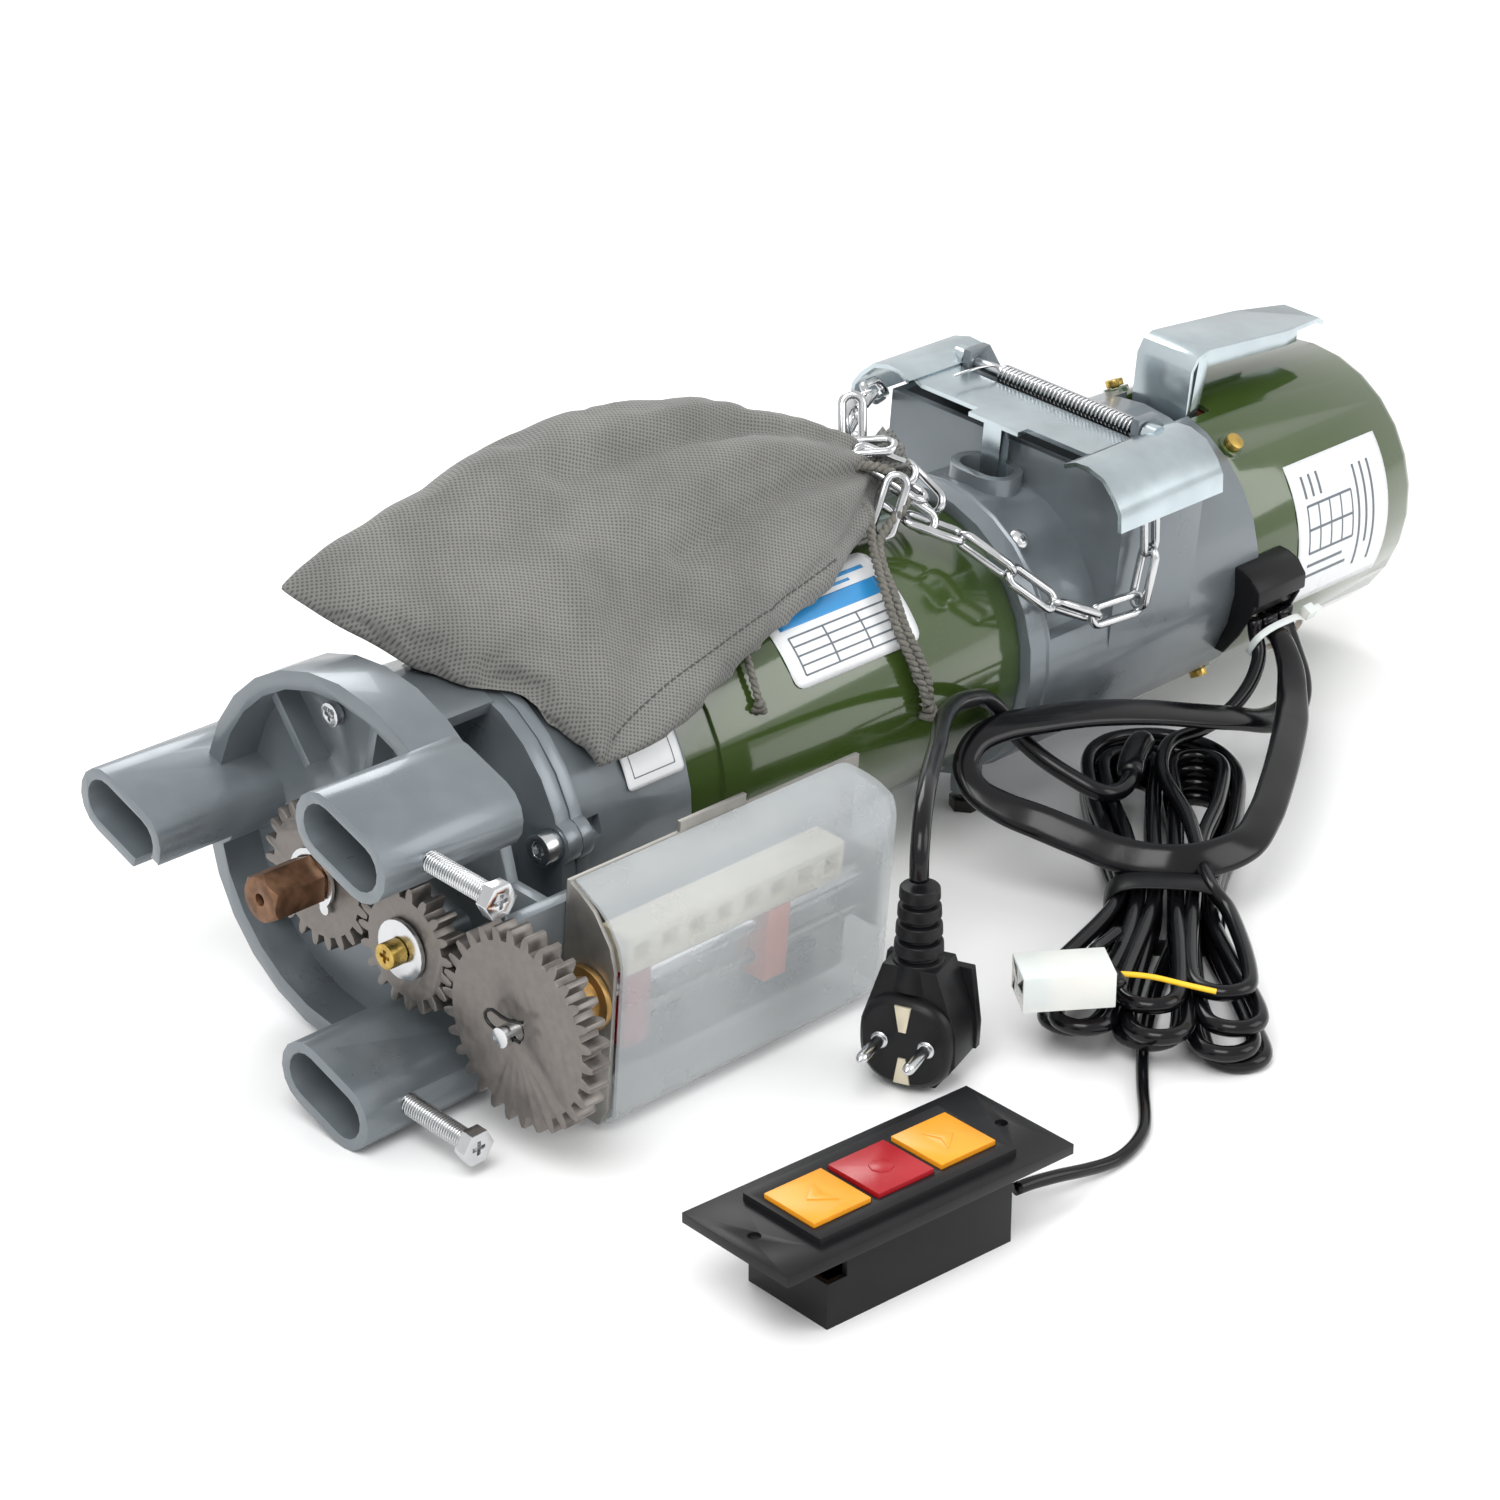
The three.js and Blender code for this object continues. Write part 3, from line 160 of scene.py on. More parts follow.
yellow_plastic = finish("yellow_plastic", (0.84, 0.32, 0.014), 0.32, vary=0.06, grain=600)
white_nylon = finish("white_nylon", (0.7, 0.7, 0.67), 0.35, vary=0.03, Subsurface_Weight=0.15)
label_white = finish("label_white", (0.72, 0.735, 0.75), 0.3, vary=0.02, Coat_Weight=0.3)
label_blue = finish("label_blue", (0.03, 0.25, 0.55), 0.3, vary=0.04, Coat_Weight=0.3)
label_ink = finish("label_ink", (0.12, 0.14, 0.16), 0.4, vary=0.05)
drawstring_grey = finish("drawstring_grey", (0.145, 0.14, 0.122), 0.9, vary=0.25, grain=2500, blotch=600)
stitch_grey = finish("stitch_grey", (0.07, 0.07, 0.068), 0.9, vary=0.2, grain=2500, blotch=600)
wire_yellow = finish("wire_yellow", (0.95, 0.55, 0.02), 0.3, vary=0.06)
clip_metal = finish("clip_metal", (0.66, 0.6, 0.46), 0.35, 0.7, vary=0.1)
milky_plastic = finish("milky_cover", (0.6, 0.64, 0.66), 0.28, vary=0.04, blotch=25, Alpha=0.36)


def dimples(tree, coords, turn):
    """A lattice of small dimples, 1.5 mm apart, in a plane turned about X."""
    plane = tree.nodes.new("ShaderNodeMapping")
    plane.inputs["Rotation"].default_value = (turn, 0, math.radians(30))
    lattice = tree.nodes.new("ShaderNodeTexVoronoi")
    lattice.voronoi_dimensions = "2D"
    lattice.inputs["Scale"].default_value = 650
    lattice.inputs["Randomness"].default_value = 0.1
    tree.links.new(coords, plane.inputs["Vector"])
    tree.links.new(plane.outputs["Vector"], lattice.inputs["Vector"])
    return lattice.outputs["Distance"]


def math_node(tree, operation, source, value):
    node = tree.nodes.new("ShaderNodeMath")
    node.operation = operation
    node.inputs[1].default_value = value
    tree.links.new(source, node.inputs[0])
    return node


def cloth_material():
    """Non-woven cloth: a lattice of pressed dimples over a fibrous grey."""
    material, tree, shader = new_material("bag_cloth", 0.92, 0.0, Sheen_Weight=0.15)
    broad = noise_node(tree, 30, 6.0)
    fibre = noise_node(tree, 1500, 4.0)
    tint = ramp(tree, broad.outputs["Fac"], (0.135, 0.135, 0.127), (0.175, 0.175, 0.165))
    coords = tree.nodes.new("ShaderNodeTexCoord").outputs["Object"]
    geometry = tree.nodes.new("ShaderNodeNewGeometry")
    split = tree.nodes.new("ShaderNodeSeparateXYZ")
    tree.links.new(geometry.outputs["Normal"], split.inputs["Vector"])
    behind = math_node(tree, "GREATER_THAN", split.outputs["Y"], 0.4)
    side = tree.nodes.new("ShaderNodeMix")
    tree.links.new(behind.outputs[0], side.inputs["Factor"])
    tree.links.new(dimples(tree, coords, math.radians(-42)), side.inputs[2])
    tree.links.new(dimples(tree, coords, math.radians(50)), side.inputs[3])
    dots = ramp(tree, side.outputs[0], (0.45, 0.45, 0.45), (1.12, 1.12, 1.12), 0.12, 0.45)
    mix = tree.nodes.new("ShaderNodeMix")
    mix.data_type = "RGBA"
    mix.blend_type = "MULTIPLY"
    mix.inputs["Factor"].default_value = 1
    tree.links.new(tint, mix.inputs[6])
    tree.links.new(dots, mix.inputs[7])
    tree.links.new(mix.outputs[2], shader.inputs["Base Color"])
    height = math_node(tree, "MULTIPLY_ADD", fibre.outputs["Fac"], 0.35)
    tree.links.new(side.outputs[0], height.inputs[2])
    bump(tree, shader, height.outputs[0], 0.7, 0.0005)
    return material


bag_cloth = cloth_material()

# ---- mesh helpers ----


def add_mesh(name, shape, material, transform=None, smooth=True):
    """A new piece from its vertices and faces, with its faces turned outwards, riding on the opener."""
    vertices, faces = shape
    mesh = bpy.data.meshes.new(name)
    mesh.from_pydata([tuple(v) for v in vertices], [], faces)
    if transform is not None:
        mesh.transform(transform)
    work = bmesh.new()
    work.from_mesh(mesh)
    bmesh.ops.recalc_face_normals(work, faces=work.faces)
    work.to_mesh(mesh)
    work.free()
    mesh.polygons.foreach_set("use_smooth", [smooth] * len(mesh.polygons))
    mesh.materials.append(material)
    piece = bpy.data.objects.new(name, mesh)
    scene.collection.objects.link(piece)
    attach(piece, "opener")
    return piece


def smooth_group():
    """Smooth shading with edges sharper than 32 degrees kept crisp."""
    group = bpy.data.node_groups.new("smooth_by_angle", "GeometryNodeTree")
    group.interface.new_socket("Geometry", in_out="INPUT", socket_type="NodeSocketGeometry")
    group.interface.new_socket("Geometry", in_out="OUTPUT", socket_type="NodeSocketGeometry")
    source, target = group.nodes.new("NodeGroupInput"), group.nodes.new("NodeGroupOutput")
    angle = group.nodes.new("GeometryNodeInputMeshEdgeAngle")
    gentle = group.nodes.new("FunctionNodeCompare")
    gentle.operation = "LESS_THAN"
    gentle.inputs[1].default_value = math.radians(32)
    faces, edges = (group.nodes.new("GeometryNodeSetShadeSmooth") for _ in range(2))
    faces.domain, edges.domain = "FACE", "EDGE"
    group.links.new(source.outputs[0], faces.inputs["Geometry"])
    group.links.new(faces.outputs[0], edges.inputs["Geometry"])
    group.links.new(angle.outputs["Unsigned Angle"], gentle.inputs[0])
    group.links.new(gentle.outputs[0], edges.inputs["Shade Smooth"])
    group.links.new(edges.outputs[0], target.inputs[0])
    return group


SMOOTH = smooth_group()


def soften(piece, width=0.0004, segments=2):
    """Rounds a piece's hard edges and shades the rest smooth."""
    weld = piece.modifiers.new("weld", "WELD")
    weld.merge_threshold = 0.00001
    flat = piece.modifiers.new("flat", "DECIMATE")
    flat.decimate_type = "DISSOLVE"
    flat.angle_limit = math.radians(0.4)
    edge = piece.modifiers.new("edge", "BEVEL")
    edge.width = width
    edge.segments = segments
    edge.limit_method = "ANGLE"
    edge.angle_limit = math.radians(38)
    edge.use_clamp_overlap = True
    shading = piece.modifiers.new("shading", "NODES")
    shading.node_group = SMOOTH


def dress(names, material, width=0.0004):
    """Gives CAD nodes their finish."""
    for name in names:
        piece = nodes[name]
        piece.data.materials.clear()
        piece.data.materials.append(material)
        if piece.data.attributes.get("custom_normal"):
            piece.data.attributes.remove(piece.data.attributes["custom_normal"])
        soften(piece, width)


def line_through(route, spacing=0.002):
    """Evenly spaced points on a smooth curve through a route."""
    points = [Vector(p) for p in route]
    points = [2 * points[0] - points[1], *points, 2 * points[-1] - points[-2]]
    dense = []
    for a, b, c, d in zip(points, points[1:], points[2:], points[3:]):
        t1 = max((b - a).length, 1e-6) ** 0.5
        t2 = t1 + max((c - b).length, 1e-6) ** 0.5
        t3 = t2 + max((d - c).length, 1e-6) ** 0.5
        count = max(4, math.ceil((c - b).length / spacing * 2))
        for i in range(count):
            t = t1 + (t2 - t1) * i / count
            ab = a.lerp(b, t / t1)
            bc = b.lerp(c, (t - t1) / (t2 - t1))
            cd = c.lerp(d, (t - t2) / (t3 - t2))
            abc = ab.lerp(bc, t / t2)
            bcd = bc.lerp(cd, (t - t1) / (t3 - t1))
            dense.append(abc.lerp(bcd, (t - t1) / (t2 - t1)))
    dense.append(points[-2])
    return evenly(dense, spacing)


def evenly(line, spacing):
    array = np.array([tuple(p) for p in line])
    steps = np.linalg.norm(np.diff(array, axis=0), axis=1)
    run = np.concatenate([[0], np.cumsum(steps)])
    count = max(2, round(run[-1] / spacing) + 1)
    marks = np.linspace(0, run[-1], count)
    return [Vector(p) for p in np.stack([np.interp(marks, run, array[:, k]) for k in range(3)], 1)]


def length_of(line):
    return sum((b - a).length for a, b in zip(line, line[1:]))


def skin(rings):
    """Vertices and faces of a closed form through rings of points, with a flat face at each end."""
    size, last = len(rings[0]), len(rings) - 1
    faces = [(i * size + k, i * size + (k + 1) % size, (i + 1) * size + (k + 1) % size, (i + 1) * size + k)
             for i in range(last) for k in range(size)]
    faces += [tuple(range(size))[::-1], tuple(range(last * size, (last + 1) * size))]
    return [point for ring in rings for point in ring], faces


def hoop(rings):
    """Vertices and faces of a closed band through rings of points, the last joined to the first."""
    size, count = len(rings[0]), len(rings)
    faces = [(i * size + k, i * size + (k + 1) % size,
              (i + 1) % count * size + (k + 1) % size, (i + 1) % count * size + k)
             for i in range(count) for k in range(size)]
    return [point for ring in rings for point in ring], faces


def sweep(line, section, normals=None):
    """Vertices and faces of a section carried along a line. section(share) gives (u, v) points;
    normals gives the direction of v at each point, or None for one carried along."""
    count = len(line)
    rings = []
    side = None
    for i, point in enumerate(line):
        along = (line[min(i + 1, count - 1)] - line[max(i - 1, 0)]).normalized()
        if normals is not None:
            up = normals[i]
        elif side is None:
            up = Vector((0, 0, 1)) if abs(along.z) < 0.9 else Vector((1, 0, 0))
        else:
            up = along.cross(side).normalized() * -1
        side = along.cross(up).normalized()
        up = side.cross(along).normalized()
        rings.append([point + side * u + up * v for u, v in section(i / (count - 1))])
    return skin(rings)


def circle(radius, sides=14):
    return [(radius * math.cos(2 * math.pi * k / sides), radius * math.sin(2 * math.pi * k / sides))
            for k in range(sides)]


def squared_oval(half_wide, half_high, sides, power_wide, power_high):
    """Points of an oval, squared up by powers below one."""
    ring = []
    for k in range(sides):
        c, s = math.cos(2 * math.pi * k / sides), math.sin(2 * math.pi * k / sides)
        ring.append((half_wide * math.copysign(abs(c) ** power_wide, c),
                     half_high * math.copysign(abs(s) ** power_high, s)))
    return ring


def tube(name, line, radius, material, sides=14):
    """A round tube; radius is a number or a function of the share along the line."""
    size = radius if callable(radius) else (lambda share: radius)
    return add_mesh(name, sweep(line, lambda share: circle(size(share), sides)), material)


def lathe(profile, sides=32):
    """Vertices and faces of an (x, radius) profile turned about X."""
    vertices = [(x, r * math.cos(2 * math.pi * k / sides), r * math.sin(2 * math.pi * k / sides))
                for k in range(sides) for x, r in profile]
    size = len(profile)
    faces = []
    for k in range(sides):
        nxt = (k + 1) % sides
        for i in range(size - 1):
            faces.append((k * size + i, k * size + i + 1, nxt * size + i + 1, nxt * size + i))
    return vertices, faces


# ---- cords ----

MOTOR_LEAD_ROUTE = [
    (0.2115, 0.0162, 0.0622), (0.2115, 0.0159, 0.056), (0.2105, 0.010, 0.045), (0.206, 0.002, 0.0355),
    (0.196, -0.005, 0.029), (0.181, -0.010, 0.0275), (0.163, -0.0125, 0.031), (0.143, -0.0105, 0.038),
    (0.124, -0.007, 0.044), (0.102, -0.002, 0.051), (0.081, 0.003, 0.0565), (0.060, 0.0085, 0.0605),
    (0.040, 0.013, 0.063), (0.020, 0.017, 0.0645), (0.004, 0.018, 0.062), (-0.006, 0.014, 0.056),
    (-0.009, 0.005, 0.0495), (-0.005, -0.006, 0.044), (0.003, -0.020, 0.039), (0.009, -0.037, 0.035),
    (0.013, -0.053, 0.0325), (0.021, -0.070, 0.0318), (0.036, -0.081, 0.0318), (0.057, -0.084, 0.0325),
    (0.080, -0.076, 0.0345), (0.104, -0.0635, 0.0365), (0.129, -0.049, 0.0385), (0.156, -0.032, 0.040),
    (0.176, -0.017, 0.042), (0.190, -0.005, 0.047), (0.198, 0.007, 0.054), (0.200, 0.0156, 0.058),
    (0.200, 0.0162, 0.0622),
]
CONTROL_ROUTE = [
    (0.1905, 0.0162, 0.0626), (0.1904, 0.0155, 0.057), (0.187, 0.010, 0.049), (0.178, 0.006, 0.041),
    (0.164, 0.0035, 0.0345), (0.148, 0.0025, 0.031), (0.134, 0.0025, 0.0303), (0.118, 0.0035, 0.0303),
]
MAINS_ROUTE = [
    (0.050, -0.014, 0.0345), (0.043, 0.0, 0.041),
    (0.0385, 0.013, 0.048), (0.034, 0.0225, 0.057), (0.027, 0.025, 0.068), (0.014, 0.022, 0.0785),
    (-0.002, 0.015, 0.0855), (-0.020, 0.0075, 0.0915), (-0.038, -0.003, 0.096), (-0.056, -0.016, 0.0995),
    (-0.075, -0.031, 0.1025), (-0.094, -0.045, 0.105), (-0.111, -0.058, 0.107), (-0.125, -0.0685, 0.105),
    (-0.134, -0.0755, 0.0995), (-0.138, -0.0786, 0.0925), (-0.1384, -0.079, 0.0842),
]
BUTTON_ROUTE = [
    (-0.0868, -0.1482, 0.0032), (-0.092, -0.1527, 0.003), (-0.0985, -0.1585, 0.003), (-0.105, -0.164, 0.003),
    (-0.112, -0.169, 0.003), (-0.1195, -0.1725, 0.003), (-0.127, -0.1748, 0.003), (-0.135, -0.176, 0.0032),
    (-0.143, -0.176, 0.004), (-0.151, -0.1753, 0.0053), (-0.158, -0.1748, 0.0068), (-0.165, -0.1739, 0.0082),
    (-0.172, -0.1728, 0.0092), (-0.179, -0.1716, 0.0099), (-0.1865, -0.1702, 0.010),
]

# The hank, in millimetres along and across its own length. The cable folds down from its top
# layer to its lowest: three long loops to a layer and one in the lowest, each layer on the next.
HANK_TURN = math.radians(39.5)
HANK_AT = (116, 6)
WAIST = -136  # where the tie is
LAYER_Z = (3.65, 10.3, 16.95, 23.6)
TOP_R = 31.6  # of the near turns that go down a layer
LANES = (-17.5, -10.5, -3.5, 5, 12, 19)  # where the runs pass the waist
FOLD_R = 10.7
FOLD_TURN = [math.radians(a) for a in (-80, -40, 0, 40, 80)]
LOOPS = {  # by layer: (across, along) of each loop's far fold
    3: ((-20, -206), (8, -219), (36, -208)),
    2: ((-24, -222), (4.5, -231), (33, -226)),
    1: ((-21, -230), (8, -224), (37, -214)),
    0: ((-26, -226),),
}


def hank_point(along, across, height):
    x = HANK_AT[0] + along * math.cos(HANK_TURN) - across * math.sin(HANK_TURN)
    y = HANK_AT[1] + along * math.sin(HANK_TURN) + across * math.cos(HANK_TURN)
    return (x * MM, y * MM, height * MM)


def far_fold(loop, height):
    across, along = loop
    return [(along - FOLD_R * math.cos(a), across + FOLD_R * math.sin(a), height) for a in FOLD_TURN]


def near_fold(side, height):
    """The small fold at the near end, to one side of the middle."""
    return [(FOLD_R * math.cos(a) - 9, 14.5 * side + FOLD_R * math.sin(a), height) for a in FOLD_TURN]


def hank_route():
    points = [(-30, 1, 30.2), (-75, -9, 30.2), (WAIST, LANES[0], 28.5), (-150, -24, 25.5)]
    for layer in (3, 2, 1, 0):
        z = LAYER_Z[layer]
        if layer < 3:
            points += [(-45, -30, z), (-85, -23, z), (WAIST, LANES[0], z)]
        points += far_fold(LOOPS[layer][0], z)
        points += [(WAIST, LANES[1], z), (-80, -15.5, z), (-42, -23, z)]
        points += near_fold(-1, z)
        points += [(-42, -5, z), (-80, -4.5, z), (WAIST, LANES[2], z)]
        if layer == 0:
            points += [(-165, 2, z), (-205, 8, z), (-235, 10, 3.4)]
            break
        points += far_fold(LOOPS[layer][1], z)
        points += [(WAIST, LANES[3], z), (-80, 5, z), (-42, 5, z)]
        points += near_fold(1, z)
        points += [(-42, 23, z), (-80, 16.5, z), (WAIST, LANES[4], z)]
        points += far_fold(LOOPS[layer][2], z)
        points += [(WAIST, LANES[5], z), (-85, 23.5, z), (-45, 30, z)]
        drop = LAYER_Z[layer - 1] - z
        for i, a in enumerate(FOLD_TURN[::-1]):
            points.append((TOP_R * math.cos(a) - 3, TOP_R * math.sin(a), z + drop * (i + 0.5) / 5))
    return [hank_point(*p) for p in points]


sleeve_line = line_through(MOTOR_LEAD_ROUTE, 0.0022)
SLEEVE_UP = Vector((0, -0.35, 0.94))
SLEEVE_OUT = Vector((-0.55, -0.6, 0.58)).normalized()
SLEEVE_EDGE_ON = Vector((0, -1, 0.15))


def sleeve_normals(line):
    """The sleeve's flat side faces up and outwards, and turns edge on at the boot."""
    found = []
    for i in range(len(line)):
        share = i / (len(line) - 1)
        blend = min(1, max(0, (share - 0.36) / 0.16))
        ends = max(0, 1 - min(share, 1 - share) / 0.07)
        found.append(SLEEVE_UP.lerp(SLEEVE_OUT, blend).lerp(SLEEVE_EDGE_ON, ends).normalized())
    return found


def sleeve_section(share):
    """A flattened tube, pinched at its turn and rounder at the boot."""
    ends = max(0, 1 - min(share, 1 - share) / 0.12)
    turn = math.exp(-(((share - 0.44) / 0.045) ** 2))
    half_wide = (7.6 - 2.6 * ends - 2.2 * turn) * MM
    half_thick = (2.7 + 0.9 * ends + 0.9 * turn) * MM
    return squared_oval(half_wide, half_thick, 20, 0.75, 0.75)


sleeve_shape = sweep(sleeve_line, sleeve_section, sleeve_normals(sleeve_line))
motor_sleeve = add_mesh("motor_sleeve", sleeve_shape, cable_black)
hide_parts("motor_lead")

control_line = line_through([*CONTROL_ROUTE, *hank_route(), *BUTTON_ROUTE], 0.0022)


def control_radius(share):
    """The cable is 6.6 mm thick from the boot through the hank, and 5 mm at the button station."""
    return 0.0025 if share > 0.975 else 0.0033


control_cable = tube("control_cable", control_line, control_radius, cable_black, 12)
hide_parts("control_lead", "cable_hank", "button_cable")

MAINS_START = [hank_point(-30, 13.6, 33.1), hank_point(-41, 14.9, 33.0), hank_point(-50, 16.2, 32.6),
               hank_point(-57.5, 20, 32.6)]
mains_line = line_through(MAINS_START + MAINS_ROUTE, 0.002)
mains_lead = tube("mains_lead", mains_line, 0.00375, cable_black)
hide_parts("mains_cable")

# ---- pieces on the cords ----

PLUG_AT = Vector((-0.1506, -0.0831, 0.0206))
PLUG = Matrix.Translation(PLUG_AT) @ Matrix.Rotation(math.radians(198.5), 4, "Z") @ Matrix.Scale(MM, 4)


def disc_face():
    """The round face and its rim, a little squared, about X."""
    sides, power = 56, 2.6
    rings = []
    for x, radius in ((0, 16.2), (-1.0, 17.6), (-2.6, 18.6), (-8, 19.2)):
        ring = []
        for c, s in circle(1, sides):
            r = radius / (abs(c) ** power + abs(s) ** power) ** (1 / power)
            ring.append((x, r * c, r * s))
        rings.append(ring)
    return skin(rings)


def slab(outline, x0, x1):
    """A block along X with a (y, z) outline."""
    return skin([[(x, y, z) for y, z in outline] for x in (x0, x1)])


def joined(parts):
    """One list of vertices and faces from several."""
    vertices, faces = [], []
    for some_vertices, some_faces in parts:
        start = len(vertices)
        vertices += [tuple(v) for v in some_vertices]
        faces += [tuple(i + start for i in face) for face in some_faces]
    return vertices, faces


def cuboid(x, y, z):
    corners = [(a, b, c) for a in x for b in y for c in z]
    faces = [(0, 1, 3, 2), (4, 6, 7, 5), (0, 4, 5, 1), (2, 3, 7, 6), (0, 2, 6, 4), (1, 5, 7, 3)]
    return corners, faces


RIBS = 4


def strain_relief():
    """The plug's ribbed neck, turned about the vertical line where the cord comes in."""
    profile = [(20, 0), (20, 11), (31, 9.8), (31.6, 7.2), (33.2, 7.2)]
    for i in range(RIBS):
        base, radius = 33.2 + 7.4 * i, 9.6 - 0.55 * i
        profile += [(base + 0.3, radius - 0.4), (base + 0.8, radius), (base + 4.9, radius - 0.2),
                    (base + 5.4, radius - 0.7)]
        if i < RIBS - 1:
            profile += [(base + 5.5, 6.2 - 0.3 * i), (base + 7.3, 6.1 - 0.3 * i)]
    profile += [(base + 5.8, 4.4), (base + 6, 0)]
    vertices, faces = lathe(profile, 28)
    return [(z - 14, y, x) for x, y, z in vertices], faces


back = [(-19.4, 5), (-11, 30), (11, 30), (19.4, 5), (19.4, -8), (11.5, -18.6), (-11.5, -18.6), (-19.4, -8)]
wing = [(-20.5, 2), (-17.5, 25), (17.5, 25), (20.5, 2), (20, -9), (-20, -9)]
plug_parts = [disc_face(), slab(back, -24, -5), slab(wing, -28, -24.2), strain_relief()]
plug = add_mesh("plug", joined(plug_parts), black_plastic, PLUG)
soften(plug, 0.0009, 3)
PIN = [(-2, 2.4), (1.5, 2.4), (15.4, 2.4), (16.9, 2.1), (18.3, 1.2), (19, 0.02)]
PIN_COLLAR = [(-0.5, 3.6), (0.5, 3.4), (0.7, 2.4)]
PIN_SPACING = 19
pin_parts = []
for across in (-PIN_SPACING / 2, PIN_SPACING / 2):
    for profile in (PIN, PIN_COLLAR):
        vertices, faces = lathe(profile, 24)
        pin_parts.append(([(x, y + across, z) for x, y, z in vertices], faces))
plug_pins = add_mesh("plug_pins", joined(pin_parts), bright_steel, PLUG)
clip_parts = []
for low, high in ((5.5, 16.4), (-16.4, -5.5)):
    vertices, faces = cuboid((-2, 0.7), (-3.4, 3.4), (low, high))
    pinched = [(x, y * (0.45 if abs(z) < 8 else 1.0), z) for x, y, z in vertices]
    clip_parts.append((pinched, faces))
plug_clips = add_mesh("plug_earth_clips", joined(clip_parts), clip_metal, PLUG, False)
soften(plug_clips, 0.0002)
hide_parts("mains_plug")

connector_at = Matrix.Translation((-0.088, -0.109, 0)) @ Matrix.Rotation(math.radians(-38), 4, "Z")
pigtail_line = line_through([connector_at @ Vector(p) for p in (
    (0.016, 0.002, 0.034), (0.022, 0.002, 0.034), (0.034, 0.000, 0.033), (0.046, -0.003, 0.0305),
    (0.058, -0.007, 0.0285))], 0.002)
lead_in_line = line_through([
    hank_point(-180, 20, 29.8), hank_point(-192, 26, 30.6), hank_point(-203, 30, 32),
    connector_at @ Vector((0.021, -0.004, 0.0335)), connector_at @ Vector((0.014, -0.004, 0.034))], 0.002)


def strap_ring(x, grow):
    """The outline of the hank's tie at x along the hank, made larger by grow."""
    return [hank_point(x, 1 + y * (1 + grow / 24), max(0.25, 15.3 + z * (1 + grow / 15)))
            for y, z in squared_oval(23.6, 15.0, 40, 0.55, 0.55)]


strap_rows = [(-7, 0.0), (-7.2, 0.5), (-6.4, 1.0), (6.4, 1.0), (7.2, 0.5), (7, 0.0)]
strap_shape = hoop([strap_ring(WAIST + x, grow) for x, grow in strap_rows])
hank_tie = add_mesh("hank_tie", strap_shape, black_plastic)

stub_line = line_through([hank_point(x, y, z) for x, y, z in (
    (-6, 9, 33.0), (-18, 12, 33.4), (-30, 14, 33.2), (-42, 15, 33.0))], 0.002)
stub = tube("sleeve_stub", stub_line, lambda s: 0.0062 - 0.0012 * abs(2 * s - 1) ** 8, cable_black,
            20)

yellow_wire = tube("connector_wire", pigtail_line, 0.0011, wire_yellow, 10)
connector_lead = tube("connector_lead", lead_in_line, 0.0024, cable_black, 12)

# ---- carried-over CAD pieces ----

dress(["front_bracket", "gearbox_housing", "chain_housing"], cast_grey, 0.0006)
dress(["motor_tube", "end_cap"], green_paint, 0.0005)
dress(["output_gear", "idler_gear", "limit_gear", "counter_gear", "chain_wheel"], gear_steel, 0.00025)
dress(["output_shaft"], shaft_steel, 0.0003)
dress(["shaft_circlip", "idler_washer", "limit_screw", "arm_bolt_upper", "arm_bolt_lower", "bracket_screw",
       "flange_screw", "plate_screw", "motor_shaft", "rear_bearing", "guide_pin"], bright_steel, 0.0003)
dress(["chain_guide", "brake_lever"], zinc, 0.0003)
dress(["limit_plate"], dull_plate, 0.0003)
dress(["idler_screw", "cap_screw_near", "cap_screw_far", "cap_screw_low"], yellow_zinc, 0.0003)
dress(["housing_bolt_near", "housing_bolt_far", "limit_clip"], black_steel, 0.0003)
dress(["limit_bushing"], bronze, 0.0003)
dress(["rotor_core"], lamination)
dress(["stator_core", "brake_coil"], copper)
dress(["brake_disc"], lining)
dress(["limit_cover"], milky_plastic, 0.0008)
dress(["terminal_block"], cream_plastic)
dress(["up_limit_nut"], orange_plastic)
dress(["down_limit_nut", "button_stop"], red_plastic, 0.0005)
dress(["button_up", "button_down"], yellow_plastic, 0.0005)
dress(["button_box", "button_plate", "up_microswitch", "down_microswitch"], black_plastic, 0.0004)
dress(["connector"], white_nylon, 0.0004)

# The boot's parts: (outline across the motor, from x, to x).
CHEEK = [(-58, -30), (-60, 13), (-69, 12.5), (-75, 10.5), (-78.5, 5), (-78, -5), (-72, -19), (-64.5, -30.5)]
HOOD = [(-60, 7), (-60, 13), (-69, 12.5), (-75, 10.5), (-80, 5), (-80.5, -2), (-77.5, -3), (-75, 4),
        (-70, 7.5)]
PACKING = [(-61, -9.5), (-61, 9), (-72, 9), (-75, 4), (-75, -9.5)]
BOOT = [(CHEEK, 473, 475.4), (CHEEK, 505.6, 508), (HOOD, 473.2, 507.8), (PACKING, 475, 506)]
boot = add_mesh("boot", joined([slab(*part) for part in BOOT]), black_plastic, MOTOR)
soften(boot, 0.0009, 3)
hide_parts("cable_grommet")

# ---- screws, marks and labels ----


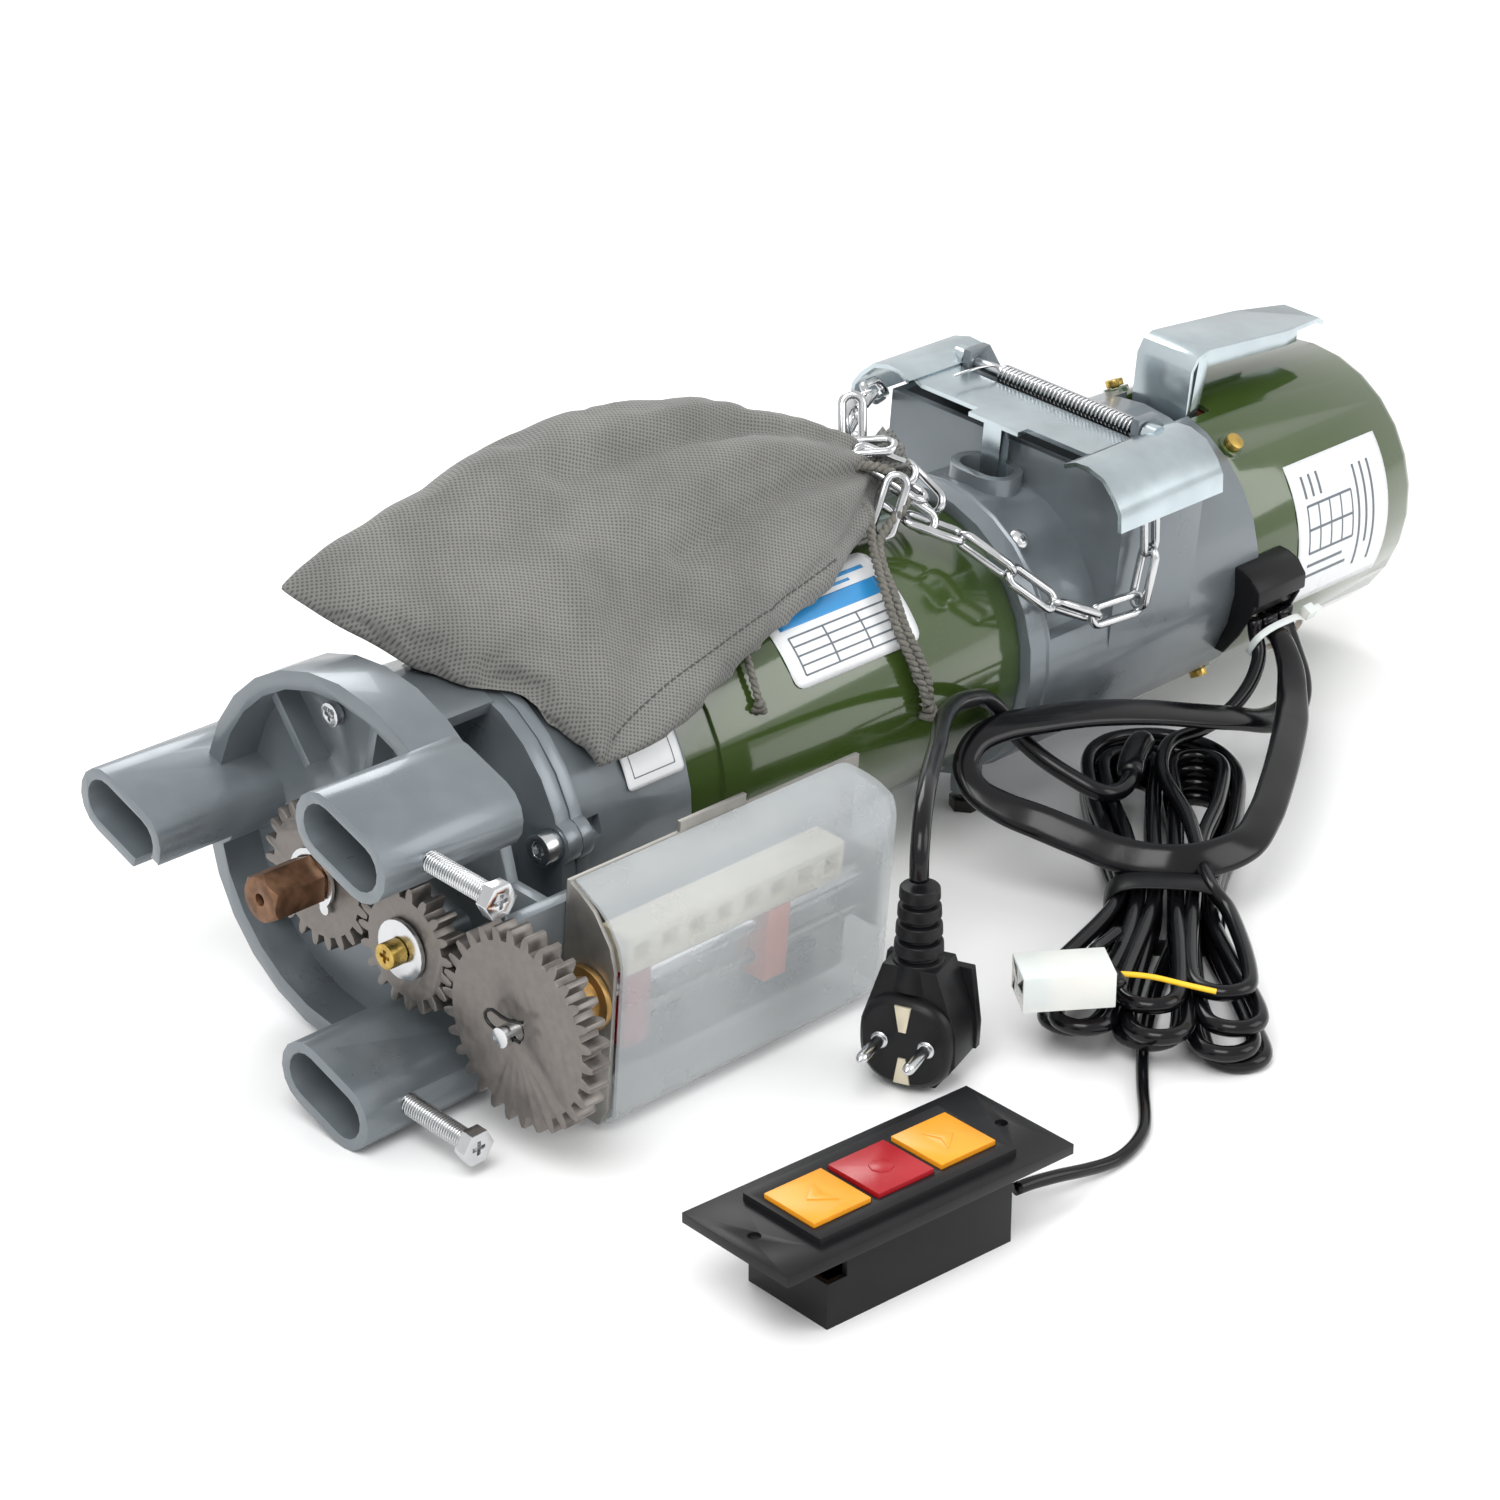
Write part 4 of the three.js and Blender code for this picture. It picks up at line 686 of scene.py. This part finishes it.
def patch(name, x, degrees, radius, material, lift=0.0, corner=0.0):
    """A thin sheet wrapped round the motor between two x values and two angles."""
    columns, rows = 24, 16
    gap, thick = 0.06, 0.18
    span = radius * math.radians(degrees[1] - degrees[0])
    vertices = []
    for layer in (0, 1):
        for i in range(rows + 1):
            for k in range(columns + 1):
                u, v = k / columns, i / rows
                across, along = (v - 0.5) * span, (u - 0.5) * (x[1] - x[0])
                over_x = abs(along) - (abs(x[1] - x[0]) / 2 - corner)
                over_y = abs(across) - (abs(span) / 2 - corner)
                if corner and over_x > 0 and over_y > 0:
                    far = math.hypot(over_x, over_y)
                    if far > corner:
                        along -= math.copysign(over_x * (1 - corner / far), along)
                        across -= math.copysign(over_y * (1 - corner / far), across)
                angle = math.radians((degrees[0] + degrees[1]) / 2) + across / radius
                r = radius + lift + gap + thick * layer
                vertices.append(((x[0] + x[1]) / 2 + along, r * math.cos(angle), r * math.sin(angle)))
    size = (rows + 1) * (columns + 1)
    faces = []
    for i in range(rows):
        for k in range(columns):
            a = i * (columns + 1) + k
            quad = (a, a + 1, a + columns + 2, a + columns + 1)
            faces.append(quad)
            faces.append(tuple(q + size for q in quad[::-1]))
    rim = list(range(columns + 1))
    rim += [i * (columns + 1) + columns for i in range(1, rows + 1)]
    rim += [rows * (columns + 1) + k for k in range(columns - 1, -1, -1)]
    rim += [i * (columns + 1) for i in range(rows - 1, 0, -1)]
    for a, b in zip(rim, rim[1:] + rim[:1]):
        faces.append((a, a + size, b + size, b))
    return add_mesh(name, (vertices, faces), material, MOTOR)


def label(name, x, degrees, radius, boxes, corner=0.0):
    """A white label, and its marks as one piece of small patches just over its face."""
    patch(name, x, degrees, radius, label_white, corner=corner)
    pieces = []
    for i, (u0, u1, v0, v1, material) in enumerate(boxes):
        xs = (x[0] + (x[1] - x[0]) * u0, x[0] + (x[1] - x[0]) * u1)
        angles = (degrees[0] + (degrees[1] - degrees[0]) * v0, degrees[0] + (degrees[1] - degrees[0]) * v1)
        pieces.append(patch(f"{name}_print_{i}", xs, angles, radius, material, 0.16))
    with bpy.context.temp_override(active_object=pieces[0], selected_editable_objects=pieces):
        bpy.ops.object.join()
    pieces[0].name = f"{name}_print"


def table_boxes(rows, columns, frame_box, line=0.008):
    """Rules of a blank printed table inside frame_box (u0, u1, v0, v1)."""
    u0, u1, v0, v1 = frame_box
    found = []
    for i in range(rows + 1):
        v = v0 + (v1 - v0) * i / rows
        found.append((u0, u1, v - line, v + line, label_ink))
    for k in range(columns + 1):
        u = u0 + (u1 - u0) * k / columns
        found.append((u - line * 0.7, u + line * 0.7, v0, v1, label_ink))
    return found


def bars(material, *found):
    """Plain printed bars, each from u0 to u1 and v0 to v1 of its label."""
    return [(*bar, material) for bar in found]


label("tube_label", (205, 279), (104, 148), 60.6,
      bars(label_blue, (0.08, 0.92, 0.30, 0.47), (0.3, 0.9, 0.14, 0.18), (0.3, 0.75, 0.22, 0.25))
      + table_boxes(4, 3, (0.1, 0.9, 0.55, 0.9)), corner=5)
label("gearbox_label", (107, 137), (133, 158), 61.4, table_boxes(1, 1, (0.14, 0.86, 0.16, 0.84)), corner=2)
label("cap_label", (521, 589), (140, 201), 65.5,
      table_boxes(2, 4, (0.12, 0.6, 0.3, 0.62))
      + bars(label_ink, (0.66, 0.68, 0.15, 0.85), (0.74, 0.76, 0.15, 0.7), (0.82, 0.84, 0.15, 0.85),
             (0.12, 0.14, 0.1, 0.25), (0.2, 0.22, 0.1, 0.25), (0.28, 0.30, 0.1, 0.25),
             (0.12, 0.5, 0.7, 0.72), (0.12, 0.56, 0.78, 0.8)))


def turned_to(axis):
    """The turn that points +X along axis."""
    return Vector((1, 0, 0)).rotation_difference(Vector(axis)).to_matrix().to_4x4()


def screw(name, profile, at, axis, edge):
    """A bright screw head with a profile along its axis, at a point of the motor's own frame."""
    place = MOTOR @ Matrix.Translation(at) @ turned_to(axis)
    soften(add_mesh(name, lathe(profile), bright_steel, place), edge)


socket_head = [(0, 0), (0, 6.2), (6.4, 6.2), (7, 5.6), (7, 3.2), (2.5, 3.2), (2.5, 0)]
first_screw = math.atan2(16.2, -58.8)  # the one that the CAD frame has
for i in (1, 2, 3):
    a = first_screw + i * math.pi / 2
    screw(f"flange_screw_{i}", socket_head, (66, 61 * math.cos(a), 61 * math.sin(a)), (-1, 0, 0), 0.0003)
pan_head = [(-1, 0), (-1, 4.6), (0.6, 4.6), (1.8, 3.6), (2.6, 1.6), (2.8, 0)]
screw("recess_screw", pan_head, (352, -38.6, 51.6), (0, -0.6, 0.8), 0.0002)


def helix(start, radius, pitch, turns, sides):
    """A coil's line along Y of the motor's own frame, round the line that leaves start."""
    x, y, z = start
    line = []
    for i in range(turns * sides + 1):
        a = 2 * math.pi * i / sides
        point = (x + radius * math.cos(a), y + pitch * i / sides, z + radius * math.sin(a))
        line.append(MOTOR @ Vector(point))
    return line


ARM_BOLTS = {"upper": (-15, -111.6, 48), "lower": (-16, -105.6, -58)}  # where each shank leaves its head
THREAD_R, THREAD_PITCH, THREAD_TURNS = 3.95, 1.25, 31
for arm, start in ARM_BOLTS.items():
    thread_line = helix(start, THREAD_R, THREAD_PITCH, THREAD_TURNS, 12)
    tube(f"bolt_thread_{arm}", thread_line, 0.00036, bright_steel, 6)

SPRING_R, SPRING_LENGTH, SPRING_TURNS = 3.9, 75.4, 34
spring_line = helix((416, -44.2, 87.5), SPRING_R, SPRING_LENGTH / SPRING_TURNS, SPRING_TURNS, 14)
SPRING_LEG = [(412, 34, 91.2), (404, 36, 91.2), (390, 37, 91)]
spring_line += [MOTOR @ Vector(point) for point in SPRING_LEG]
spring_coil = tube("spring_coil", spring_line, 0.00062, chain_steel, 7)
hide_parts("guide_spring")

# ---- hand chain ----

LINK_LENGTH, LINK_WIDTH, LINK_WIRE, LINK_STEP = 30.5, 12.4, 3.7, 23.2
NEAR_CHAIN = [
    (390, -75.7, 73), (391, -76.3, 60), (394, -76.5, 45), (396, -76.5, 33), (388, -76.4, 24),
    (374, -73.5, 21.5), (356, -70, 28.5), (340, -65, 37), (328, -58, 48), (322, -48, 57), (316, -38, 62),
    (308, -26, 66), (299, -20, 70),
]
FAR_CHAIN = [(388, 75.7, 73), (378, 70.5, 76), (362, 62, 80.5), (345, 52, 83), (330, 43, 85), (318, 34, 87)]
NECK_CHAIN = [(316, -26, 70), (322, -14, 73), (326, 0, 74.5), (322, 13, 77), (314, 22, 84), (306, 18, 92)]
CLUMP_LINKS = [  # (middle, along, facing) of the links gathered at the bag's neck
    ((303, 17, 97), (0.3, 0.37, 0.88), (-0.65, -0.6, 0.47)),
    ((296, 4.5, 94), (0.73, -0.67, 0.12), (-0.2, -0.1, 0.97)),
    ((299, -6, 89), (0.6, -0.75, -0.3), (-0.5, -0.6, 0.6)),
    ((301, -12, 83), (0.35, -0.9, -0.4), (0.2, -0.3, 0.93)),
    ((291.5, -17, 76), (0.45, 0.1, 0.88), (-0.65, -0.6, 0.47)),
    ((300.5, -19, 73), (0.55, -0.65, -0.5), (-0.5, -0.5, 0.7)),
]


def link_mesh():
    """One welded oval link, long in X and flat in Z."""
    straight = (LINK_LENGTH - LINK_WIDTH) / 2
    radius = (LINK_WIDTH - LINK_WIRE) / 2
    ring, around, thick = [], 28, 10
    for i in range(around):
        a = 2 * math.pi * (i + 0.5) / around
        c, s = math.cos(a), math.sin(a)
        for k in range(thick):
            b = 2 * math.pi * k / thick
            r = radius + LINK_WIRE / 2 * math.cos(b)
            weld = 1.12 if i in (6, 7) else 1.0
            ring.append((r * c + math.copysign(straight, c), r * s, LINK_WIRE / 2 * weld * math.sin(b)))
    faces = []
    for i in range(around):
        for k in range(thick):
            a, b = i * thick + k, i * thick + (k + 1) % thick
            c, d = ((i + 1) % around) * thick + k, ((i + 1) % around) * thick + (k + 1) % thick
            faces.append((a, c, d, b))
    return ring, faces


def link_place(middle, along, facing):
    """The place of a link that lies on along, its flat side turned towards facing."""
    across = facing.cross(along).normalized()
    turn = Matrix((along, across, along.cross(across))).transposed().to_4x4()
    return Matrix.Translation(middle) @ turn


def chain(name, places):
    """Links at these places, as one piece."""
    ring, faces = link_mesh()
    parts = [([place @ Vector(v) for v in ring], faces) for place in places]
    return add_mesh(name, joined(parts), chain_steel, MOTOR)


def chain_run(name, route, first, wobble):
    """Links along a route, each turned a quarter from the last and a little off by wobble degrees."""
    line = line_through(route, 1.0)
    count = int(length_of(line) // LINK_STEP)
    places = []
    for i in range(count):
        start = line[round(i * (len(line) - 1) / count)]
        end = line[round((i + 1) * (len(line) - 1) / count)]
        along = (end - start).normalized()
        outward = Vector((0, start.y + end.y, start.z + end.z))
        roll = math.radians(90 * ((i + first) % 2) + wobble * math.sin(2.3 * i + first))
        places.append(link_place((start + end) / 2, along, outward) @ Matrix.Rotation(roll, 4, "X"))
    return chain(name, places)


near_chain = chain_run("near_chain", NEAR_CHAIN, 0, 12)
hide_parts("chain_run_near")
far_chain = chain_run("far_chain", FAR_CHAIN, 1, 12)
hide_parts("chain_run_far")
chain_run("neck_chain", NECK_CHAIN, 1, 25)
chain("coil_chain", [link_place(middle, Vector(along).normalized(), Vector(facing))
                     for middle, along, facing in CLUMP_LINKS])

# ---- chain bag ----

BAG_NECK = Vector((302, 9, 82))
UNDER = [(-10, 34, 79.4), (33, 81, 67.4), (80, 336, 63.9), (335, 360, 68.4)]  # (from x, to x, radius)


def clear_radius(x):
    """How far from the motor axis the cloth has to stay at x."""
    return max((r for x0, x1, r in UNDER if x0 <= x <= x1), default=0)


CREASES = [  # (line, depth, width): a ridge has a depth below nought
    ([(291, -2, 90), (250, -4, 95), (174, -12, 85)], 4.5, 5.0),
    ([(293, 4, 97), (238, 20, 114), (149, 31, 110)], 3.6, 6.0),
    ([(288, -7, 83), (264, -21, 70), (205, -38, 60)], 3.4, 5.0),
    ([(288, 12, 104), (225, 34, 120), (150, 40, 114)], -2.2, 6.0),
    ([(290, 0, 94), (228, 8, 105), (160, 4, 98)], -3.0, 7.0),
    ([(100, -52, 42), (118, -23, 71), (125, 5, 93)], -3.0, 7.0),
    ([(112, -50, 43), (160, -20, 79), (190, -6, 90)], 2.2, 8.0),
]
TIPS = [((34, 54, 90), (32, 56, 90)), ((107, -57.5, 36), (87, -50, 38))]  # (corner, where it is drawn to)
TIP_REACH = 34


def distance_to(line, point):
    best = 1e9
    for a, b in zip(line, line[1:]):
        a, b = Vector(a), Vector(b)
        share = max(0, min(1, (point - a).dot(b - a) / (b - a).length_squared))
        best = min(best, (point - a.lerp(b, share)).length)
    return best


def bag_form(x, y, z):
    """How far a point of the filled bag stands out for its pleats and folds, in millimetres."""
    point = Vector((x, y, z))
    reach = (BAG_NECK - point).length
    around = math.atan2(point.z - BAG_NECK.z, point.y - BAG_NECK.y)
    sway = 1.6 * noise.noise(point * 0.018)
    pleat = math.exp(-((reach / 62) ** 2)) * math.sin(9 * around + sway)
    long_fold = noise.noise(Vector((x * 0.010, y * 0.030, z * 0.030)))
    links = noise.noise(Vector((x * 0.045, y * 0.06, z * 0.06)))
    crease = sum(depth * math.exp(-((distance_to(line, point) / width) ** 2))
                 for line, depth, width in CREASES)
    return 1.8 * pleat + 2.4 * long_fold + 0.9 * links - 0.8 - crease


def pointed(point):
    """Draws the cloth out to its two sewn corners."""
    for start, tip in TIPS:
        near = 1 - (point - Vector(start)).length / TIP_REACH
        if near > 0:
            point = point.lerp(Vector(tip), 0.8 * near ** 2)
    return point


def evaluated(piece):
    """The piece's mesh with its modifiers applied."""
    bpy.context.view_layer.update()
    return bpy.data.meshes.new_from_object(piece.evaluated_get(bpy.context.evaluated_depsgraph_get()))


def swell(piece, furthest):
    """Lets the cloth swell and buckle as pressed from inside, each point moving at most furthest."""
    start = [v.co.copy() for v in piece.data.vertices]
    cloth = piece.modifiers.new("cloth", "CLOTH").settings
    cloth.use_pressure = True
    cloth.uniform_pressure_force = 3.0
    cloth.shrink_min = -0.075
    cloth.quality = 6
    cloth.mass = 0.15
    cloth.tension_stiffness = 18
    cloth.compression_stiffness = 18
    cloth.bending_stiffness = 0.25
    cloth.effector_weights.gravity = 0
    for step in range(1, 21):
        scene.frame_set(step)
    made = evaluated(piece)
    scene.frame_set(1)
    piece.modifiers.clear()
    piece.data = made
    for vertex, rest in zip(made.vertices, start):
        moved = vertex.co - rest
        if moved.length > furthest:
            vertex.co = rest + moved * (furthest / moved.length)


def make_bag():
    bag = bpy.data.objects.new("bag", nodes["chain_bag"].data.copy())
    scene.collection.objects.link(bag)
    remesh = bag.modifiers.new("remesh", "REMESH")
    remesh.mode = "VOXEL"
    remesh.voxel_size = 0.0034
    relax = bag.modifiers.new("relax", "SMOOTH")
    relax.factor = 0.5
    relax.iterations = 5
    bag.data = evaluated(bag)
    bag.modifiers.clear()
    inverse, turn = MOTOR.inverted(), MOTOR.to_3x3().normalized().inverted()
    out = [(turn @ v.normal).normalized() for v in bag.data.vertices]
    for vertex, normal in zip(bag.data.vertices, out):
        p = inverse @ vertex.co
        vertex.co = MOTOR @ pointed(p + normal * bag_form(*p))
    swell(bag, 0.004)
    for vertex in bag.data.vertices:
        p = inverse @ vertex.co
        least, far = clear_radius(p.x), math.hypot(p.y, p.z)
        if far < least:
            p.y *= least / far
            p.z *= least / far
        vertex.co = MOTOR @ p
    bag.data.materials.clear()
    bag.data.materials.append(bag_cloth)
    bag.data.polygons.foreach_set("use_smooth", [True] * len(bag.data.polygons))
    bag.modifiers.new("smooth", "SUBSURF").render_levels = 1
    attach(bag, "opener")
    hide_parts("chain_bag")
    return bag


bag = make_bag()

HEM = [(99, -50, 46), (119, -48.5, 52), (140, -46, 57), (166, -42.5, 60.5), (191, -38.5, 63.5),
       (220, -33.5, 66.5), (248, -27.5, 69)]
stitch_parts = []
bpy.context.view_layer.update()
cloth_surface = BVHTree.FromObject(bag, bpy.context.evaluated_depsgraph_get())
hem_line = [MOTOR @ p for p in line_through(HEM, 0.65)]
for i in range(0, len(hem_line) - 5, 6):
    stitch = []
    for point in hem_line[i:i + 5]:
        place, normal, _, _ = cloth_surface.find_nearest(point)
        stitch.append(place + normal * 0.0001)
    stitch_parts.append(sweep(stitch, lambda share: circle(0.00035, 6)))
add_mesh("bag_stitches", joined(stitch_parts), stitch_grey)

# Rings of the cloth gathered at the neck: (along, radius, wave).
FRILL_ROWS = [(-4, 9, 0), (0, 7.2, 0), (4, 8.6, 0.6), (9, 11.5, 1.6), (14, 13.5, 2.4)]
FRILL_SIDES = 72


def frill_ring(along, radius, wave):
    """One ring of the gathered cloth."""
    ring = []
    for k in range(FRILL_SIDES):
        a = 2 * math.pi * k / FRILL_SIDES
        r = radius + wave * math.sin(9 * a) * 0.8 + 0.5 * wave * math.sin(5 * a + 1)
        ring.append((along + 0.35 * wave * math.sin(4 * a), r * math.cos(a), 0.75 * r * math.sin(a)))
    return ring


outside = [frill_ring(*row) for row in FRILL_ROWS]
inside = [frill_ring(along, radius - 0.7, wave) for along, radius, wave in FRILL_ROWS]
frill_place = MOTOR @ Matrix.Translation((301, 4, 84)) @ turned_to((0.85, -0.35, 0.4))
add_mesh("bag_frill", hoop(outside + inside[::-1]), bag_cloth, frill_place)


TWISTS_PER_MM = 0.16


def twisted(name, route, radius):
    """A cord of two strands twisted together, as one mesh, with its centre line."""
    line = [MOTOR @ p for p in line_through(route, 1.0)]
    parts = []
    for phase in (0, math.pi):
        strand = []
        for i, point in enumerate(line):
            along = (line[min(i + 1, len(line) - 1)] - line[max(i - 1, 0)]).normalized()
            side = along.cross(Vector((0.3, 0.2, 0.93))).normalized()
            up = side.cross(along)
            a = phase + 2 * math.pi * TWISTS_PER_MM * i
            strand.append(point + (side * math.cos(a) + up * math.sin(a)) * radius * 0.5)
        parts.append(sweep(strand, lambda share: circle(radius * 0.62, 8)))
    return add_mesh(name, joined(parts), drawstring_grey), line


def knot(name, at, size):
    line = []
    for t in np.linspace(0, 2 * math.pi, 40):
        loop = Vector((math.sin(2 * t) * size, math.sin(3 * t) * size, math.cos(t) * size * 1.3))
        line.append(MOTOR @ (Vector(at) + loop))
    return tube(name, line, 0.0013, drawstring_grey, 8)


LONG_STRING = [
    (284, 3, 88), (290, -3, 90), (297, -11, 88), (299, -18, 82), (296, -21, 76), (289, -20, 70),
    (281, -22, 64.5), (275, -30, 59.5), (270, -42, 51.5), (268, -51, 41), (270, -58, 30), (272, -62, 20),
    (273, -63.8, 9)]
long_string, long_line = twisted("drawstring_long", LONG_STRING, 0.0021)
long_knot = knot("drawstring_long_knot", (273, -64, 6), 2.4)
TWIN_STRING = [
    (281, -9, 78), (281, -16, 72), (277, -22, 65), (271, -31, 59.8), (265.5, -42, 52), (263.5, -50.5, 42),
    (265, -57.5, 31), (268, -62.2, 20), (270.5, -64.8, 10)]
twin_string, twin_line = twisted("drawstring_twin", TWIN_STRING, 0.0019)
short_string, short_line = twisted("drawstring_short", [
    (187, -28, 61), (186, -33, 58), (185, -38, 54), (184.5, -42, 49.5), (183, -46.5, 44.5), (182, -50, 40),
    (181.5, -52.5, 36)], 0.0016)
short_knot = knot("drawstring_short_knot", (181.5, -53, 34), 1.7)

# ---- zip tie ----

TIE_AT = Vector((0.2015, 0.0125, 0.0525))
TIE_PLACE = Matrix.Translation(TIE_AT) @ Matrix.Rotation(math.radians(-60), 4, "X") @ Matrix.Scale(MM, 4)
tie_band = [[(x * (1 + grow / 18), y * (1 + grow / 7), z) for x, y in squared_oval(16.5, 8.6, 36, 0.7, 0.8)]
            for z, grow in ((-1.6, 0), (-1.6, 0.9), (1.6, 0.9), (1.6, 0))]
tie_lock = cuboid((15.5, 21.5), (-11, -6), (-2.6, 2.6))
tie_tail = cuboid((20, 27), (-9.2, -8.2), (-1.6, 1.6))
zip_tie = add_mesh("zip_tie", joined([hoop(tie_band), tie_lock, tie_tail]), white_nylon,
                   TIE_PLACE)
soften(zip_tie, 0.0003)

# ---- floor and light ----

bpy.ops.mesh.primitive_plane_add(size=12, location=(0, 0, 0))
floor = bpy.context.object
floor.name = "floor"
floor_material, _, floor_shader = new_material("studio_floor", 0.6)
floor_shader.inputs["Base Color"].default_value = (0.93, 0.93, 0.93, 1)
floor.data.materials.append(floor_material)


def area_light(name, at, target, size, power):
    data = bpy.data.lights.new(name, "AREA")
    data.size = size
    data.energy = power
    light = bpy.data.objects.new(name, data)
    light.location = at
    light.rotation_euler = (Vector(target) - Vector(at)).to_track_quat("-Z", "Y").to_euler()
    scene.collection.objects.link(light)


area_light("key", (-1.1, -0.6, 1.7), (0, 0, 0.08), 1.1, 23)
area_light("fill", (0.9, -1.5, 1.0), (0.05, 0, 0.08), 1.2, 12)
area_light("rim", (0.5, 1.4, 1.3), (0, 0.05, 0.1), 1.0, 14)
world = bpy.data.worlds.new("studio")
world.use_nodes = True
world.node_tree.nodes["Background"].inputs["Color"].default_value = (1, 1, 1, 1)
world.node_tree.nodes["Background"].inputs["Strength"].default_value = 0.88
scene.world = world
